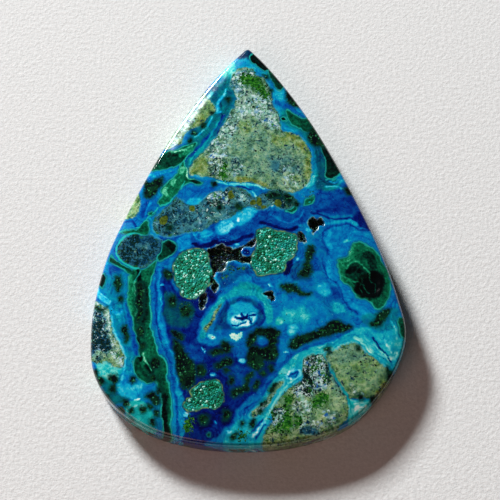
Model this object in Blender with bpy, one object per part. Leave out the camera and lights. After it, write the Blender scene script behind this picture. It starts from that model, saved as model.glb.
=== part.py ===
"""A pear-shaped chrysocolla cabochon: one piece of banded copper ore, cut, domed and polished.

It lies on its flat back in the plane z = 0. Its tip points along +Y, and its origin is under the
middle of its outline. The polished crown has small open vugs, and nests of tiny malachite
crystals that the cut has laid bare.
"""

import math
import random

import bmesh
import bpy
from mathutils import Vector, geometry

MM = 0.001

# Girdle and crown, in millimetres
WALL_HEIGHT = 3.0
BACK_CHAMFER = 0.4
SHOULDER_WIDTH = 1.4
SHOULDER_RISE = 0.9
DOME_RISE = 1.1
DOME_TOP = (0.0, -7.0)

# Points that the girdle's outline runs through, clockwise from the tip, in millimetres
OUTLINE_POINTS = [
    (-0.3, 26.45), (0.85, 25.5), (3.7, 22.1), (7.75, 16.1), (10.65, 10.8), (13.7, 4.4), (16.4, -2.0),
    (18.35, -8.3), (19.1, -12.4), (18.05, -16.4), (15.2, -20.8), (11.3, -24.1), (5.6, -26.0),
    (-0.5, -26.6), (-7.0, -26.05), (-12.6, -24.3), (-16.9, -20.9), (-19.0, -17.2), (-19.45, -12.9),
    (-19.15, -8.7), (-17.7, -2.3), (-15.15, 3.9), (-12.25, 9.9), (-8.75, 16.1), (-4.55, 22.1),
    (-1.5, 25.45),
]
OUTLINE_STEPS = 5
RIM_STEPS = 2

# Mesh pitch of the crown and of what is sunk in it, in millimetres
CROWN_PITCH = 1.5
DRUSE_PITCH = 0.5
VUG_PITCH = 0.45
RIM_CLEARANCE = 0.2

# Crystal nests: the pocket's floor lies under the polish, and each crystal's point nearly reaches it
DRUSE_FLOOR = 0.5
CRYSTAL_HEIGHT = 0.42
DRUSES = {
    "upper": [(2.1, 0.5), (3.3, 0.3), (4.6, 0.0), (5.9, -0.2), (6.1, -1.1), (6.0, -2.3), (5.7, -3.2),
              (4.7, -3.8), (4.5, -4.8), (3.8, -5.4), (2.6, -5.7), (1.5, -5.9), (0.7, -5.2),
              (0.2, -3.9), (0.4, -2.9), (0.9, -1.9), (1.1, -0.6)],
    "left": [(-8.5, -2.9), (-7.5, -2.3), (-6.3, -2.2), (-5.2, -2.5), (-4.8, -3.2), (-4.5, -4.3),
             (-4.3, -5.6), (-4.7, -6.9), (-5.6, -7.6), (-6.2, -8.4), (-7.2, -8.7), (-8.1, -8.4),
             (-8.5, -7.3), (-9.1, -6.1), (-9.2, -4.4)],
    "low": [(-7.0, -20.2), (-6.1, -19.2), (-4.9, -18.8), (-3.8, -18.8), (-3.1, -19.7), (-2.9, -20.8),
            (-3.4, -21.8), (-4.6, -22.4), (-6.2, -22.6), (-7.5, -22.1), (-7.7, -21.2)],
}

# Open vugs: depth and rim
VUGS = {
    "long": (0.9, [(-4.7, -2.6), (-3.5, -2.0), (-2.0, -2.1), (-0.6, -2.8), (-0.1, -3.6), (-0.6, -4.1),
                   (-1.7, -3.8), (-2.6, -4.0), (-3.1, -5.1), (-3.9, -5.3), (-4.2, -4.4)]),
    "upper_right": (1.0, [(7.3, 1.7), (8.0, 2.2), (8.6, 1.7), (9.3, 1.8), (9.3, 1.1), (8.6, 0.7),
                          (8.1, 0.0), (7.6, 0.6)]),
    "beside_druse": (0.7, [(6.3, -0.1), (6.9, -0.2), (7.3, -0.9), (6.8, -1.1), (6.3, -0.9)]),
    "over_eye": (0.8, [(1.7, -8.1), (2.4, -7.8), (3.1, -8.2), (3.3, -8.9), (2.6, -8.9), (2.0, -8.6)]),
    "under_eye": (0.9, [(2.2, -12.3), (3.3, -12.7), (3.0, -13.7), (3.2, -15.0), (2.6, -15.9),
                        (1.6, -16.6), (0.6, -16.5), (0.1, -15.6), (0.9, -15.0), (2.0, -15.0),
                        (2.6, -14.0), (2.3, -13.0)]),
    "right_eye": (0.7, [(11.8, -4.8), (13.0, -4.2), (14.2, -4.8), (15.2, -5.1), (15.7, -5.9),
                        (15.7, -7.0), (15.3, -7.9), (14.4, -8.3), (13.4, -7.8), (13.0, -6.8),
                        (13.1, -5.9), (12.3, -5.4)]),
    "vein_upper": (0.7, [(-13.6, -7.2), (-13.1, -7.0), (-12.7, -8.4), (-12.8, -10.2), (-13.3, -10.4),
                         (-13.5, -8.9)]),
    "vein_middle": (0.7, [(-13.5, -12.1), (-12.9, -11.8), (-12.5, -12.8), (-12.8, -13.6),
                          (-13.4, -13.2)]),
    "vein_lower": (0.7, [(-11.8, -16.4), (-11.2, -16.2), (-10.6, -16.8), (-10.9, -17.4),
                         (-11.6, -17.3)]),
    "column": (0.7, [(-8.9, -14.7), (-8.2, -14.6), (-7.7, -15.8), (-7.5, -17.4), (-7.9, -18.3),
                     (-8.5, -17.6), (-8.6, -16.1)]),
    "under_island": (0.7, [(-4.5, -15.0), (-3.5, -14.1), (-2.6, -14.0), (-2.2, -14.7), (-2.7, -15.4),
                           (-3.9, -15.6)]),
    "worm": (0.6, [(-2.1, -20.0), (-1.2, -19.6), (-0.3, -19.3), (0.2, -19.5), (-0.2, -20.2),
                   (-1.2, -20.6), (-1.9, -20.5)]),
    "beside_left_druse": (0.6, [(-10.8, -5.3), (-10.1, -5.0), (-9.6, -5.5), (-9.9, -6.1), (-10.6, -6.0)]),
}

SEED = 7


def clear_scene():
    for item in list(bpy.data.objects):
        bpy.data.objects.remove(item, do_unlink=True)


def stretch_tangents(before, start, end, after):
    """Tangents of a centripetal spline at both ends of one stretch."""
    lead = math.sqrt((start - before).length)
    span = math.sqrt((end - start).length)
    trail = math.sqrt((after - end).length)
    chord = (end - start) / span
    leaving = (start - before) / lead - (end - before) / (lead + span) + chord
    arriving = chord - (after - start) / (span + trail) + (after - end) / trail
    return leaving * span, arriving * span


def smooth_loop(points, steps):
    """A closed smooth line through points, with the given number of steps between two of them."""
    knots = [Vector(point) for point in points]
    count = len(knots)
    line = []
    for i, start in enumerate(knots):
        end = knots[(i + 1) % count]
        leaving, arriving = stretch_tangents(knots[i - 1], start, end, knots[(i + 2) % count])
        for step in range(steps):
            s = step / steps
            line.append((2 * s**3 - 3 * s**2 + 1) * start + (s**3 - 2 * s**2 + s) * leaving
                        + (3 * s**2 - 2 * s**3) * end + (s**3 - s**2) * arriving)
    return line


def centred(line):
    """The line moved so that its bounding box is centred on the origin."""
    xs = [point.x for point in line]
    ys = [point.y for point in line]
    middle = Vector(((min(xs) + max(xs)) / 2, (min(ys) + max(ys)) / 2))
    return [point - middle for point in line]


def edge_distance(point, loop):
    """Distance from a point to a closed line."""
    nearest = math.inf
    for i, end in enumerate(loop):
        start = loop[i - 1]
        side = end - start
        along = min(1.0, max(0.0, (point - start).dot(side) / side.length_squared))
        nearest = min(nearest, (point - start - side * along).length)
    return nearest


def is_inside(point, loop):
    inside = False
    for i, end in enumerate(loop):
        start = loop[i - 1]
        if (start.y > point.y) != (end.y > point.y):
            crossing = start.x + (point.y - start.y) * (end.x - start.x) / (end.y - start.y)
            inside ^= point.x < crossing
    return inside


def soft_inset(point, loop):
    """A smooth stand-in for the distance to a closed line.

    It is the inverse root of the line's summed 1 / r**3, so it equals the distance close to a
    straight side and levels off in the middle, with no crease.
    """
    pull = 0.0
    for i, end in enumerate(loop):
        start = loop[i - 1]
        along = (end - start).normalized()
        offset = start - point
        clear = max(abs(offset.cross(along)), 1e-4)
        near, far = offset.dot(along), (end - point).dot(along)
        pull += (far / math.hypot(clear, far) - near / math.hypot(clear, near)) / clear**2
    return math.sqrt(2.0 / pull)


def shoulder_height(inset):
    """Height of the girdle and its rounded shoulder at a distance inside the outline."""
    left = 1.0 - min(inset / SHOULDER_WIDTH, 1.0)
    return WALL_HEIGHT + SHOULDER_RISE * math.sqrt(1.0 - left * left)


def hex_points(loop, pitch):
    """Points of a hexagonal grid inside a closed line, each with its row and column."""
    row_step = pitch * math.sqrt(3.0) / 2.0
    low_x = min(point.x for point in loop)
    low_y = min(point.y for point in loop)
    columns = int((max(point.x for point in loop) - low_x) / pitch) + 2
    rows = int((max(point.y for point in loop) - low_y) / row_step) + 2
    for row in range(rows):
        for column in range(columns):
            point = Vector((low_x + (column + 0.5 * (row % 2)) * pitch, low_y + row * row_step))
            if is_inside(point, loop):
                yield row, column, point


class Crown:
    """The crown's points in plan, with their heights, and the lines that its facets must keep."""

    def __init__(self, outline, edge_loop):
        self.outline = outline
        self.dome_reach = soft_inset(Vector(DOME_TOP), outline)
        self.points = []
        self.heights = []
        self.edges = []
        self.keep_clear = []
        self.add_loop(edge_loop)
        self.edge_count = len(edge_loop)

    def surface(self, point):
        """Height of the polished surface."""
        dome = DOME_RISE * soft_inset(point, self.outline) / self.dome_reach
        return shoulder_height(edge_distance(point, self.outline)) + dome

    def add_point(self, point, height):
        self.points.append(point)
        self.heights.append(height)

    def add_loop(self, loop):
        first = len(self.points)
        for i, point in enumerate(loop):
            self.add_point(point, self.surface(point))
            self.edges.append((first + i, first + (i + 1) % len(loop)))
        self.keep_clear.append(loop)

    def add_druse(self, rim, rng):
        """A shallow pocket, packed with small crystals whose points stand in a hexagonal pattern."""
        loop = smooth_loop(rim, RIM_STEPS)
        self.add_loop(loop)
        for row, column, point in hex_points(loop, DRUSE_PITCH):
            if edge_distance(point, loop) < RIM_CLEARANCE:
                continue
            is_tip = (column + (row % 2) + 2 * (row // 2)) % 3 == 0
            rise = CRYSTAL_HEIGHT * rng.uniform(0.6, 1.0) if is_tip else rng.uniform(-0.06, 0.06)
            shift = Vector((rng.uniform(-1, 1), rng.uniform(-1, 1))) * 0.12 * DRUSE_PITCH
            self.add_point(point + shift, self.surface(point) - DRUSE_FLOOR + rise)

    def add_vug(self, depth, rim, rng):
        """An open hole with steep sides and a rough floor."""
        loop = smooth_loop(rim, RIM_STEPS)
        self.add_loop(loop)
        for _, _, point in hex_points(loop, VUG_PITCH):
            inset = edge_distance(point, loop)
            if inset < RIM_CLEARANCE:
                continue
            fall = depth * min(1.0, 0.45 + inset) * rng.uniform(0.75, 1.0)
            shift = Vector((rng.uniform(-1, 1), rng.uniform(-1, 1))) * 0.1 * VUG_PITCH
            self.add_point(point + shift, self.surface(point) - fall)

    def fill(self):
        """Points of the plain polished surface, clear of every line laid so far."""
        holes = self.keep_clear[1:]
        for _, _, point in hex_points(self.keep_clear[0], CROWN_PITCH):
            if any(is_inside(point, hole) for hole in holes):
                continue
            if all(edge_distance(point, loop) > 0.4 * CROWN_PITCH for loop in self.keep_clear):
                self.add_point(point, self.surface(point))

    def facets(self):
        border = [list(range(self.edge_count))]
        found = geometry.delaunay_2d_cdt(self.points, self.edges, border, 1, 1e-5)
        places, _, faces, origins = found[:4]
        heights = [self.heights[origin[0]] for origin in origins]
        return [(place.x, place.y, height) for place, height in zip(places, heights)], faces


def shoulder_rings(outline):
    """Rings that step up the rounded shoulder, from the girdle's top edge inward."""
    shares = (0.01, 0.026, 0.05, 0.078)
    middle = Vector((0.0, -7.0))
    return [[point.lerp(middle, share) for point in outline] for share in shares]


def lay_ring(mesh, ring, heights):
    return [mesh.verts.new((point.x, point.y, height)) for point, height in zip(ring, heights)]


def join_rings(mesh, lower, upper):
    """Two triangles between each pair of neighbours; both rings run clockwise seen from above."""
    for i, corner in enumerate(lower):
        before = i - 1
        mesh.faces.new((corner, lower[before], upper[before]))
        mesh.faces.new((corner, upper[before], upper[i]))


def build_cabochon():
    outline = centred(smooth_loop(OUTLINE_POINTS, OUTLINE_STEPS))
    rings = shoulder_rings(outline)
    back = [point * (1.0 - BACK_CHAMFER / point.length) for point in outline]

    mesh = bmesh.new()
    count = len(outline)
    back_ring = lay_ring(mesh, back, [0.0] * count)
    foot_ring = lay_ring(mesh, outline, [BACK_CHAMFER] * count)
    wall_ring = lay_ring(mesh, outline, [WALL_HEIGHT] * count)
    stacked = [back_ring, foot_ring, wall_ring]
    crown = Crown(outline, rings[-1])
    for ring in rings[:-1]:
        stacked.append(lay_ring(mesh, ring, [crown.surface(point) for point in ring]))

    rng = random.Random(SEED)
    for rim in DRUSES.values():
        crown.add_druse(rim, rng)
    for depth, rim in VUGS.values():
        crown.add_vug(depth, rim, rng)
    crown.fill()
    places, faces = crown.facets()
    laid = [mesh.verts.new(place) for place in places]
    for face in faces:
        mesh.faces.new([laid[corner] for corner in face])
    stacked.append(laid[:count])

    for lower, upper in zip(stacked, stacked[1:]):
        join_rings(mesh, lower, upper)
    mesh.faces.new(back_ring)
    bmesh.ops.triangulate(mesh, faces=[face for face in mesh.faces if len(face.verts) > 3])
    bmesh.ops.recalc_face_normals(mesh, faces=mesh.faces)
    bmesh.ops.scale(mesh, vec=(MM, MM, MM), verts=mesh.verts)

    data = bpy.data.meshes.new("cabochon")
    mesh.to_mesh(data)
    mesh.free()
    data.shade_smooth()
    data.set_sharp_from_angle(angle=math.radians(25.0))
    cabochon = bpy.data.objects.new("cabochon", data)
    bpy.context.scene.collection.objects.link(cabochon)
    return cabochon


def polished_chrysocolla():
    material = bpy.data.materials.new("polished_chrysocolla")
    material.use_nodes = True
    shader = material.node_tree.nodes["Principled BSDF"]
    shader.inputs["Base Color"].default_value = (0.008, 0.14, 0.34, 1.0)
    shader.inputs["Roughness"].default_value = 0.12
    shader.inputs["Metallic"].default_value = 0.0
    return material


def main():
    clear_scene()
    build_cabochon().data.materials.append(polished_chrysocolla())


main()
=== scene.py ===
"""Looks of the pear-shaped chrysocolla cabochon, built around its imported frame."""

import math

import bpy
import numpy as np
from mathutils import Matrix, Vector, geometry


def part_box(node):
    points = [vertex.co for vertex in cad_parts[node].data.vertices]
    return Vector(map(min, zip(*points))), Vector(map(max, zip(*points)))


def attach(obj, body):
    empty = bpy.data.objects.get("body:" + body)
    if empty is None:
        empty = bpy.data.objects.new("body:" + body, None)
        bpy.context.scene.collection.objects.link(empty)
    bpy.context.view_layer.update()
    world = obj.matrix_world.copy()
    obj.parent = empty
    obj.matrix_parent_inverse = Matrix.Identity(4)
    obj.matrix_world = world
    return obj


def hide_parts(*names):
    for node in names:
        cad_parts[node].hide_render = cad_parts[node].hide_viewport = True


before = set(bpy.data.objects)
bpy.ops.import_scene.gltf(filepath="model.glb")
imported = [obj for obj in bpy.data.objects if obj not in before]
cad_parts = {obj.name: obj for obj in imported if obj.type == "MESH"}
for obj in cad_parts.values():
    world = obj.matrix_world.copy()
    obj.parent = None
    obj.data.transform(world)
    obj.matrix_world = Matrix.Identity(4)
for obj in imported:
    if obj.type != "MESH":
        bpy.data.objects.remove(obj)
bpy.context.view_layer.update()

MM = 0.001

# ---------------------------------------------------------------- sizes, in millimetres
HIGH = np.array(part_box("cabochon")[1]) / MM
TOTAL_HEIGHT = HIGH[2]
DOME_RISE = 1.1
SHOULDER_RISE = 0.9
WALL_HEIGHT = TOTAL_HEIGHT - SHOULDER_RISE - DOME_RISE
# the shoulder's profile: a small round edge, a flat bevel and a short run-out onto the dome
EDGE_WIDTH = 0.45
BEVEL_SLOPE = 0.195
BEVEL_WIDTH = 1.2
BEVEL_END = 1.7
# the bevel's waves: depth, where they begin and end inside the edge, their width and their draw
BEVEL_WAVE = 0.02
WAVE_BEGINS = (0.1, 0.9)
WAVE_ENDS = (1.2, 2.6)
WAVE_PITCH = 3.2
WAVE_SEED = 31
BACK_CHAMFER = 0.4
DOME_TOP = (0.0, -7.0)

# the outline: x and y by turns
OUTLINE_POINTS = [
    -0.3, 26.45, 0.85, 25.5, 3.7, 22.1, 7.75, 16.1, 10.65, 10.8, 13.7, 4.4, 16.4, -2, 18.35, -8.3,
    19.1, -12.4, 18.05, -16.4, 15.2, -20.8, 11.3, -24.1, 5.6, -26, -0.5, -26.6, -7, -26.05, -12.6, -24.3,
    -16.9, -20.9, -19, -17.2, -19.45, -12.9, -19.15, -8.7, -17.7, -2.3, -15.15, 3.9, -12.25, 9.9,
    -8.75, 16.1, -4.55, 22.1, -1.5, 25.45,
]
OUTLINE_STEPS = 34
COARSE_STEP = 6
GRID_PITCH = 0.165
BACK_PITCH = 0.45
SHAPE_STEPS = 4
# rings of points on the shoulder, the share of the way in they cover, and how they crowd to the edge
CROWN_RINGS = 11
CROWN_BAND = 0.082
CROWN_CROWDING = 1.7
GIRDLE_RINGS = 15
# how far grids stay clear of the loop round them, in pitches
SEAM_WIDTH = 0.6
MERGE_DISTANCE = 1e-7
KEY_BASE = 10**7
LEAST_CLEARANCE = 1e-4
LEAST_PULL = 1e-12
NOISE_CELLS = 64

# hollows: depths, and the width of the walls down to them
PIT_WALL = 0.3
NEST_DEPTH = 0.11
NEST_WALL = 0.6
POLISH_CLEARANCE = 0.004
DIMPLE_DEPTH = 0.1
DIMPLE_WALL = 0.45
# how far outside its outlines each border is measured
FIELD_REACH = 2.5
MOSS_REACH = 0.5
DARK_REACH = 1.0
TEAL_REACH = 0.6
ELLIPSE_MARGIN = 1.5
# soft edges, in millimetres, and of spots in radii
LINE_FADE = 0.1
CLAST_FADE = 0.3
MALACHITE_FADE = 0.2
SPOT_FADE = (0.7, 1.2)
# how far the pattern leans inwards and wanders for each millimetre below the crown's edge
INWARD_LEAN = 0.03
GIRDLE_PITCH = 3.0
GIRDLE_WANDER = 0.25
GIRDLE_SEED = 21
# how drawn edges are made to wander: pitch, reach and seed
EDGE_WANDER = [(1.1, 0.13, 1), (0.45, 0.11, 3)]

# ---------------------------------------------------------------- the ore's pattern, in millimetres
# Ground colour is told by two numbers: tone runs from navy (0) over azure (0.4) and sky blue (0.7) to
# white (1), and green runs from pure blue (0) to teal (1).
# Every outline and line lists x and y by turns.
BORDERS = ("malachite", "rock", "moss", "dark", "vug", "nest", "rust", "teal")
# the borders that agate lines follow
LINED_BORDERS = ("malachite", "rock", "vug", "nest")
# washes where nothing is laid, and the slow drift of the ground's: strength, pitch and seed
UNTOUCHED = {"tone": 0.5, "green": 0.12, "shade": 0.4, "tint": 0.4, "dark_grains": 0.3,
             "pale_grains": 0.2, "haze": 0.0}
GROUND_DRIFT = [("tone", 0.05, 2.6, 11), ("green", 0.08, 3.1, 12)]

# Broad areas of ground: tone, green, feather, outline
WASHES = [
    # azure belt across the stone, from the left flank over the nests to the right flank
    (0.36, 0.0, 0.5, [-11, 0.2, -7.5, 0, -4.2, 1.6, -1, 2.8, 2, 3.2, 5, 3, 7.4, 3.9, 8.6, 5.6, 10.2, 7.4,
        12.8, 7.4, 14.6, 4, 16.2, 1, 16.4, -1, 14.2, 0.6, 11.4, 2.4, 9.6, 2.8, 8.2, 3, 6.6, 1.4, 4.2, 0.6,
        2, 1.4, 0.8, 0.6, 0.6, -1.2, -1.8, -1.6, -4.4, -1.6, -6.2, -1.9, -8.4, -2.6, -10.4, -3.4]),
    (0.62, 0.02, 0.5, [9, 7.6, 10.6, 7, 12.6, 7.6, 12.6, 9.6, 11, 8.2, 10, 7.6]),
    (0.28, 0.0, 0.7, [9.6, 3.4, 11.4, 5.2, 13.6, 5.6, 15.2, 2.8, 12.8, 2.8, 11, 3]),
    (0.12, 0.0, 0.35, [13, 2.2, 13.9, 3.4, 15.4, 3.4, 16.4, 0.8, 14.8, 0.8, 13.8, 1.3]),
    # pale blue lumps over the long cavity
    (0.66, 0.05, 0.35, [-4.2, 0.2, -3.8, 1.4, -2.8, 2.1, -1.5, 2.8, -0.5, 3.4, 1.2, 3.2, 0.4, 2.1,
        -0.8, 1.1, -2.2, 0.5, -3.2, -0.1]),
    (0.84, 0.1, 0.3, [-3.9, 0.6, -3.4, 1.5, -2.4, 1.9, -1.8, 1.2, -2.2, 0.5, -3.1, 0.1]),
    (0.76, 0.1, 0.3, [-1.3, 2.4, -0.2, 3.3, 0.9, 3.1, 0.2, 2.2, -0.8, 1.6]),
    (0.6, 0.0, 0.3, [-8.8, -1.9, -8.5, -0.4, -7.6, -0.1, -7.1, -0.8, -7.2, -1.9, -8.2, -2.4]),
    (0.66, 0.1, 0.3, [-6.1, 0.2, -5, 0.5, -4.4, 0.2, -4.8, -0.5, -5.6, -0.6]),
    # deep blue heart of the stone
    (0.16, 0.0, 0.45, [-10.2, -4.4, -9.2, -6.6, -8.2, -8, -6.4, -8.4, -5.6, -7.4, -4.2, -8, -3.4, -7.4,
        -3.8, -8.6, -5.2, -10.2, -6, -12, -6.2, -13.8, -4.4, -14.4, -1.8, -14, -0.2, -14.6, 0.2, -12.6,
        3.4, -12.4, 3.6, -15, 3, -17, 1.6, -19.4, -0.4, -21.2, -2.2, -23, -3.4, -25.2, -8, -26.2, -8, -21.6,
        -8.3, -18.6, -9, -15.6, -9.9, -12.6, -10.5, -9.6, -10.6, -6.6]),
    (0.26, 0.75, 0.6, [-10.4, -7.4, -9.4, -7.6, -8.6, -8.8, -6.9, -9, -6.5, -10.4, -7.2, -11.8, -9.2, -12,
        -10.3, -11]),
    (0.3, 0.0, 0.4, [-7.8, -13.8, -6.6, -14.2, -5.4, -15.2, -5.4, -16.2, -6.6, -16.4, -7.8, -15]),
    (0.3, 0.1, 0.4, [-2.6, -17.2, -0.6, -16.9, 1.2, -18.2, 0.4, -19.6, -1.2, -19.4, -2.4, -18.6]),
    (0.4, 0.0, 0.35, [-2.2, -14, -0.2, -14, 0, -15.6, -1, -16, -2.2, -15.2]),
    (0.36, 0.3, 0.5, [-3.9, -5, -3.4, -7, -2, -6.6, -1, -5.6, 0.6, -5.2, 0.2, -4.4, -1.6, -4.2, -2.2, -3.6,
        -2.9, -4.6]),
    # the middle eye and its halo
    (0.5, 0.05, 0.5, [-6.2, -13.4, -5.8, -11.4, -4.6, -9.4, -2.8, -7.6, -1, -6.4, 1, -6.2, 3, -7, 4, -9,
        4, -11, 3, -12.2, 0.2, -12.8, -0.2, -14.2, -3, -13.6, -4.6, -14.2]),
    (0.6, 0.75, 0.45, [-2.6, -8, -1.9, -7.2, -0.9, -6.4, 0.4, -6.4, 1.6, -7, 1.8, -7.9, 0.4, -8.1,
        -1.2, -8.2]),
    (0.3, 0.35, 0.4, [-3.9, -12.8, -3.6, -10.6, -2.7, -9.2, -1.4, -8.5, 0.2, -8.5, 1.3, -9.2, 1.9, -10.4,
        1.4, -11.8, 0.2, -12.5, -2, -12.8]),
    (0.44, 0.0, 0.35, [-3.8, -12.6, -2.6, -12.3, -0.6, -12.5, 1, -12, 0, -13.2, -2.2, -13.2, -3.4, -13.4]),
    (0.7, 0.2, 0.35, [-2.7, -10.9, -2.2, -9.6, -1.1, -9, 0.2, -9.1, 1, -9.8, 1.1, -10.8, 0.5, -11.8,
        -0.9, -12.1, -2.1, -12]),
    (0.95, 0.25, 0.14, [-2.1, -11.2, -1.6, -10.6, -0.6, -10.5, 0.4, -10.2, 1, -10.3, 0.8, -11.1, 0.3, -11.8,
        -0.9, -11.98, -1.9, -11.95]),
    (0.92, 0.85, 0.05, [-2.2, -13, -1.4, -12.95, -0.75, -12.75, -0.8, -13.4, -1.3, -13.8, -1.9, -13.55]),
    (0.86, 0.3, 0.12, [-5, -13, -4.5, -12.9, -3.9, -13.3, -4.3, -13.5, -4.8, -13.4]),
    # clouds right of the eye
    (0.55, 0.1, 0.7, [2.6, -7, 5, -8.6, 8, -8.4, 9.4, -9.6, 9.6, -11.4, 7, -12.2, 5, -13.4, 3.6, -13,
        4, -10.4]),
    (0.72, 0.5, 0.7, [4, -10.2, 5.6, -9.6, 7.2, -9.8, 7.4, -11, 6, -11.6, 4.4, -11.6]),
    (0.8, 0.3, 0.4, [4.6, -12, 5.6, -11.7, 6, -12.2, 5.4, -13, 4.7, -12.9]),
    (0.7, 0.45, 0.3, [10.4, -8.9, 11.2, -8.9, 11.8, -10, 11, -10.3, 10.4, -9.8]),
    (0.68, 0.1, 0.4, [8.6, -6.4, 9.8, -6.6, 10, -7.8, 9, -8, 8.2, -7.2]),
    (0.38, 0.0, 0.5, [7.6, -2.6, 8.8, -2.8, 8.8, -4.6, 7.8, -4.8]),
    (0.36, 0.4, 0.5, [5.2, -4.4, 6.4, -3.6, 8, -4.4, 7.6, -6, 5.6, -6.2]),
    # blue shell round the right eye
    (0.54, 0.0, 0.35, [9.2, 0.2, 10.4, 1.4, 12.4, 1.7, 13.8, 1.2, 15.4, 0.6, 16.6, -1.6, 18, -6, 17.8, -9,
        16.4, -10.6, 13.4, -10.4, 11.8, -9.2, 10.8, -7.2, 9.4, -5.6, 9, -3.6, 9.6, -2.2]),
    (0.34, 0.0, 0.4, [10.2, -6.8, 10.9, -7, 11.2, -8.2, 10.7, -8.7, 10.2, -7.8]),
    (0.8, 0.6, 0.12, [11.7, -0.9, 12.1, -0.45, 12.7, -0.6, 12.3, -0.8]),
    # turquoise border of the lower right clasts
    (0.7, 0.45, 0.3, [-3, -26.6, -2.3, -24.6, -1.2, -23.4, 0.8, -21.9, 2.1, -20, 3.4, -17.9, 4.6, -16.6,
        6.4, -15.4, 8.6, -14.4, 10.6, -13.7, 12, -12.9, 13, -12.1, 14.6, -12.2, 16.2, -12.6, 16.9, -11.4,
        17.6, -10.2, 19, -10.6, 19.6, -13.4, 19, -15.6, 18, -17.2, 16.8, -17.2, 15, -16.4, 13, -15.2,
        11, -15.2, 9, -15.8, 6.8, -16.6, 6.4, -18.2, 4.8, -19.8, 3.6, -21.8, 2.6, -23.4, 2, -25,
        1.2, -26.8]),
    (0.8, 0.6, 0.25, [7.6, -15.4, 9.4, -14.8, 11, -14.2, 12.6, -13.5, 12.2, -13.9, 10.6, -14.8, 9, -15.4,
        7.4, -16]),
    (0.5, 0.6, 0.4, [14, -10.4, 16, -10, 17.6, -9.4, 18.4, -9.6, 17.4, -12, 16, -12.4, 14.2, -11.8]),
    (0.76, 0.75, 0.15, [11.9, -21, 13, -20.95, 14.6, -21, 16, -21.2, 14.4, -22.4, 12.9, -23.3, 11.8, -23.7,
        11.9, -22.2]),
    (0.9, 0.6, 0.1, [12.6, -21.3, 13.6, -21.2, 14.2, -21.5, 13, -22.2, 12.5, -22.8, 12.4, -21.9]),
    # left flank
    (0.56, 0.12, 0.4, [-18.6, -3, -16.6, -3.4, -15.2, -4.8, -15.2, -8, -14.8, -11, -14.2, -13.6,
        -13.4, -15.6, -13.2, -17.4, -12.2, -18.6, -11.2, -20, -12, -21.5, -13, -20.4, -14.5, -20.6,
        -15.8, -19.6, -15.6, -18, -15, -17, -14.9, -15.4, -15.6, -13.6, -16.4, -12, -16.8, -10, -17.6, -8.8,
        -18.8, -7.4]),
    (0.74, 0.15, 0.3, [-15.6, -18.6, -14.6, -19, -13.4, -19.2, -12.6, -18.9, -13, -20, -13.6, -20.8,
        -14.8, -20.8, -15.6, -19.8]),
    (0.3, 0.1, 0.4, [-17.2, -4, -15.6, -4.6, -15.4, -7.6, -16.2, -8, -17, -6.4]),
    (0.8, 0.75, 0.25, [-18.4, -16.2, -17.2, -15.8, -16, -16.4, -15.2, -17.3, -16, -18.6, -17.8, -18.4]),
    (0.42, 0.85, 0.35, [-17.8, -18.2, -16.4, -18.8, -15.6, -20, -14.8, -21, -16.6, -21.4]),
    (0.72, 0.95, 0.25, [-14.8, -21.4, -13.2, -20.8, -12.2, -21.4, -11.2, -22.8, -10.4, -24.6, -13, -24.4,
        -14.6, -22.8]),
    (0.5, 0.5, 0.25, [-11, -22.6, -10.5, -22.6, -10.2, -24.6, -11.2, -24.4]),
    (0.62, 0.15, 0.25, [-9.1, -20, -8, -20, -7.9, -25.6, -9.2, -25.4]),
    # upper left flank
    (0.58, 0.15, 0.3, [-13.6, 9.4, -12.4, 9.1, -10.4, 9.2, -9, 9.3, -8.9, 8.2, -10.4, 7.8, -12.4, 8,
        -13.6, 8.2]),
    (0.42, 0.05, 0.4, [-14, 4.8, -12.4, 4.6, -11.4, 4.2, -12.2, 2.6, -13.4, 2.2, -14, 3.2]),
    (0.55, 0.1, 0.4, [-17, 2.4, -14.6, 2.2, -13.4, 1.6, -14.6, 1, -16.6, 0.8]),
    (0.46, 0.1, 0.4, [-8.4, 7.2, -6.6, 7.6, -4.2, 7.2, -3, 6.2, -4.6, 5.6, -6.2, 4.6, -8, 4.8, -9.4, 5,
        -8.4, 6.2]),
    (0.72, 0.15, 0.3, [-8, 4.2, -7.2, 4.9, -6, 4.7, -5.8, 4.2, -6.8, 4]),
    (0.44, 0.6, 0.4, [-9.4, 12, -7.6, 12.6, -6.4, 14.6, -4.8, 16.2, -4.4, 18.2, -4.8, 21.2, -2.2, 20.8,
        -1.6, 18.2, -2.4, 16.6, -3.2, 14.4, -5, 12, -6.8, 10.2, -8, 8.2, -8.8, 9.8, -7.4, 11.8]),
    (0.6, 0.05, 0.3, [-4.6, 20.4, -2.4, 20.4, -1.8, 18.6, -2.6, 16.8, -4, 16.4, -4.2, 18]),
    # tip and upper right flank
    (0.66, 0.3, 0.5, [-5.4, 23, -0.2, 27.4, 3.4, 23.6, 3, 21.6, 1.4, 22.6, -1.4, 23, -2.6, 21, -5, 21.4]),
    (0.85, 0.8, 0.3, [-4.4, 23.4, -2.8, 24.8, -1.8, 24, -1.8, 22.6, -2.8, 21.8, -3.6, 22.6]),
    (0.62, 0.15, 0.4, [2, 21.6, 3.6, 20.6, 4.8, 20.4, 6.6, 17.4, 9.4, 14.6, 8.6, 13.2, 7.4, 13.8, 5.4, 14.2,
        4.1, 14.6, 3.8, 16.8, 3, 18.4]),
    (0.42, 0.0, 0.35, [3.4, 18.4, 4.8, 18.6, 6.2, 17.6, 8, 15.4, 7, 15.6, 5, 17.2]),
    (0.72, 0.25, 0.3, [3.3, 20.4, 4.6, 20, 4.4, 18.6, 3.3, 18.9]),
    (0.2, 0.6, 0.3, [-0.5, 25.5, 0.2, 26.6, 1, 26, 0.4, 25, -0.2, 25]),
    (0.55, 0.5, 0.3, [7.9, 12.6, 8.6, 12.6, 9.4, 11, 9.6, 8.6, 9, 7.4, 7.6, 6.4, 7.2, 6.8, 8.2, 8.2,
        8.3, 10.6]),
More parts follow.
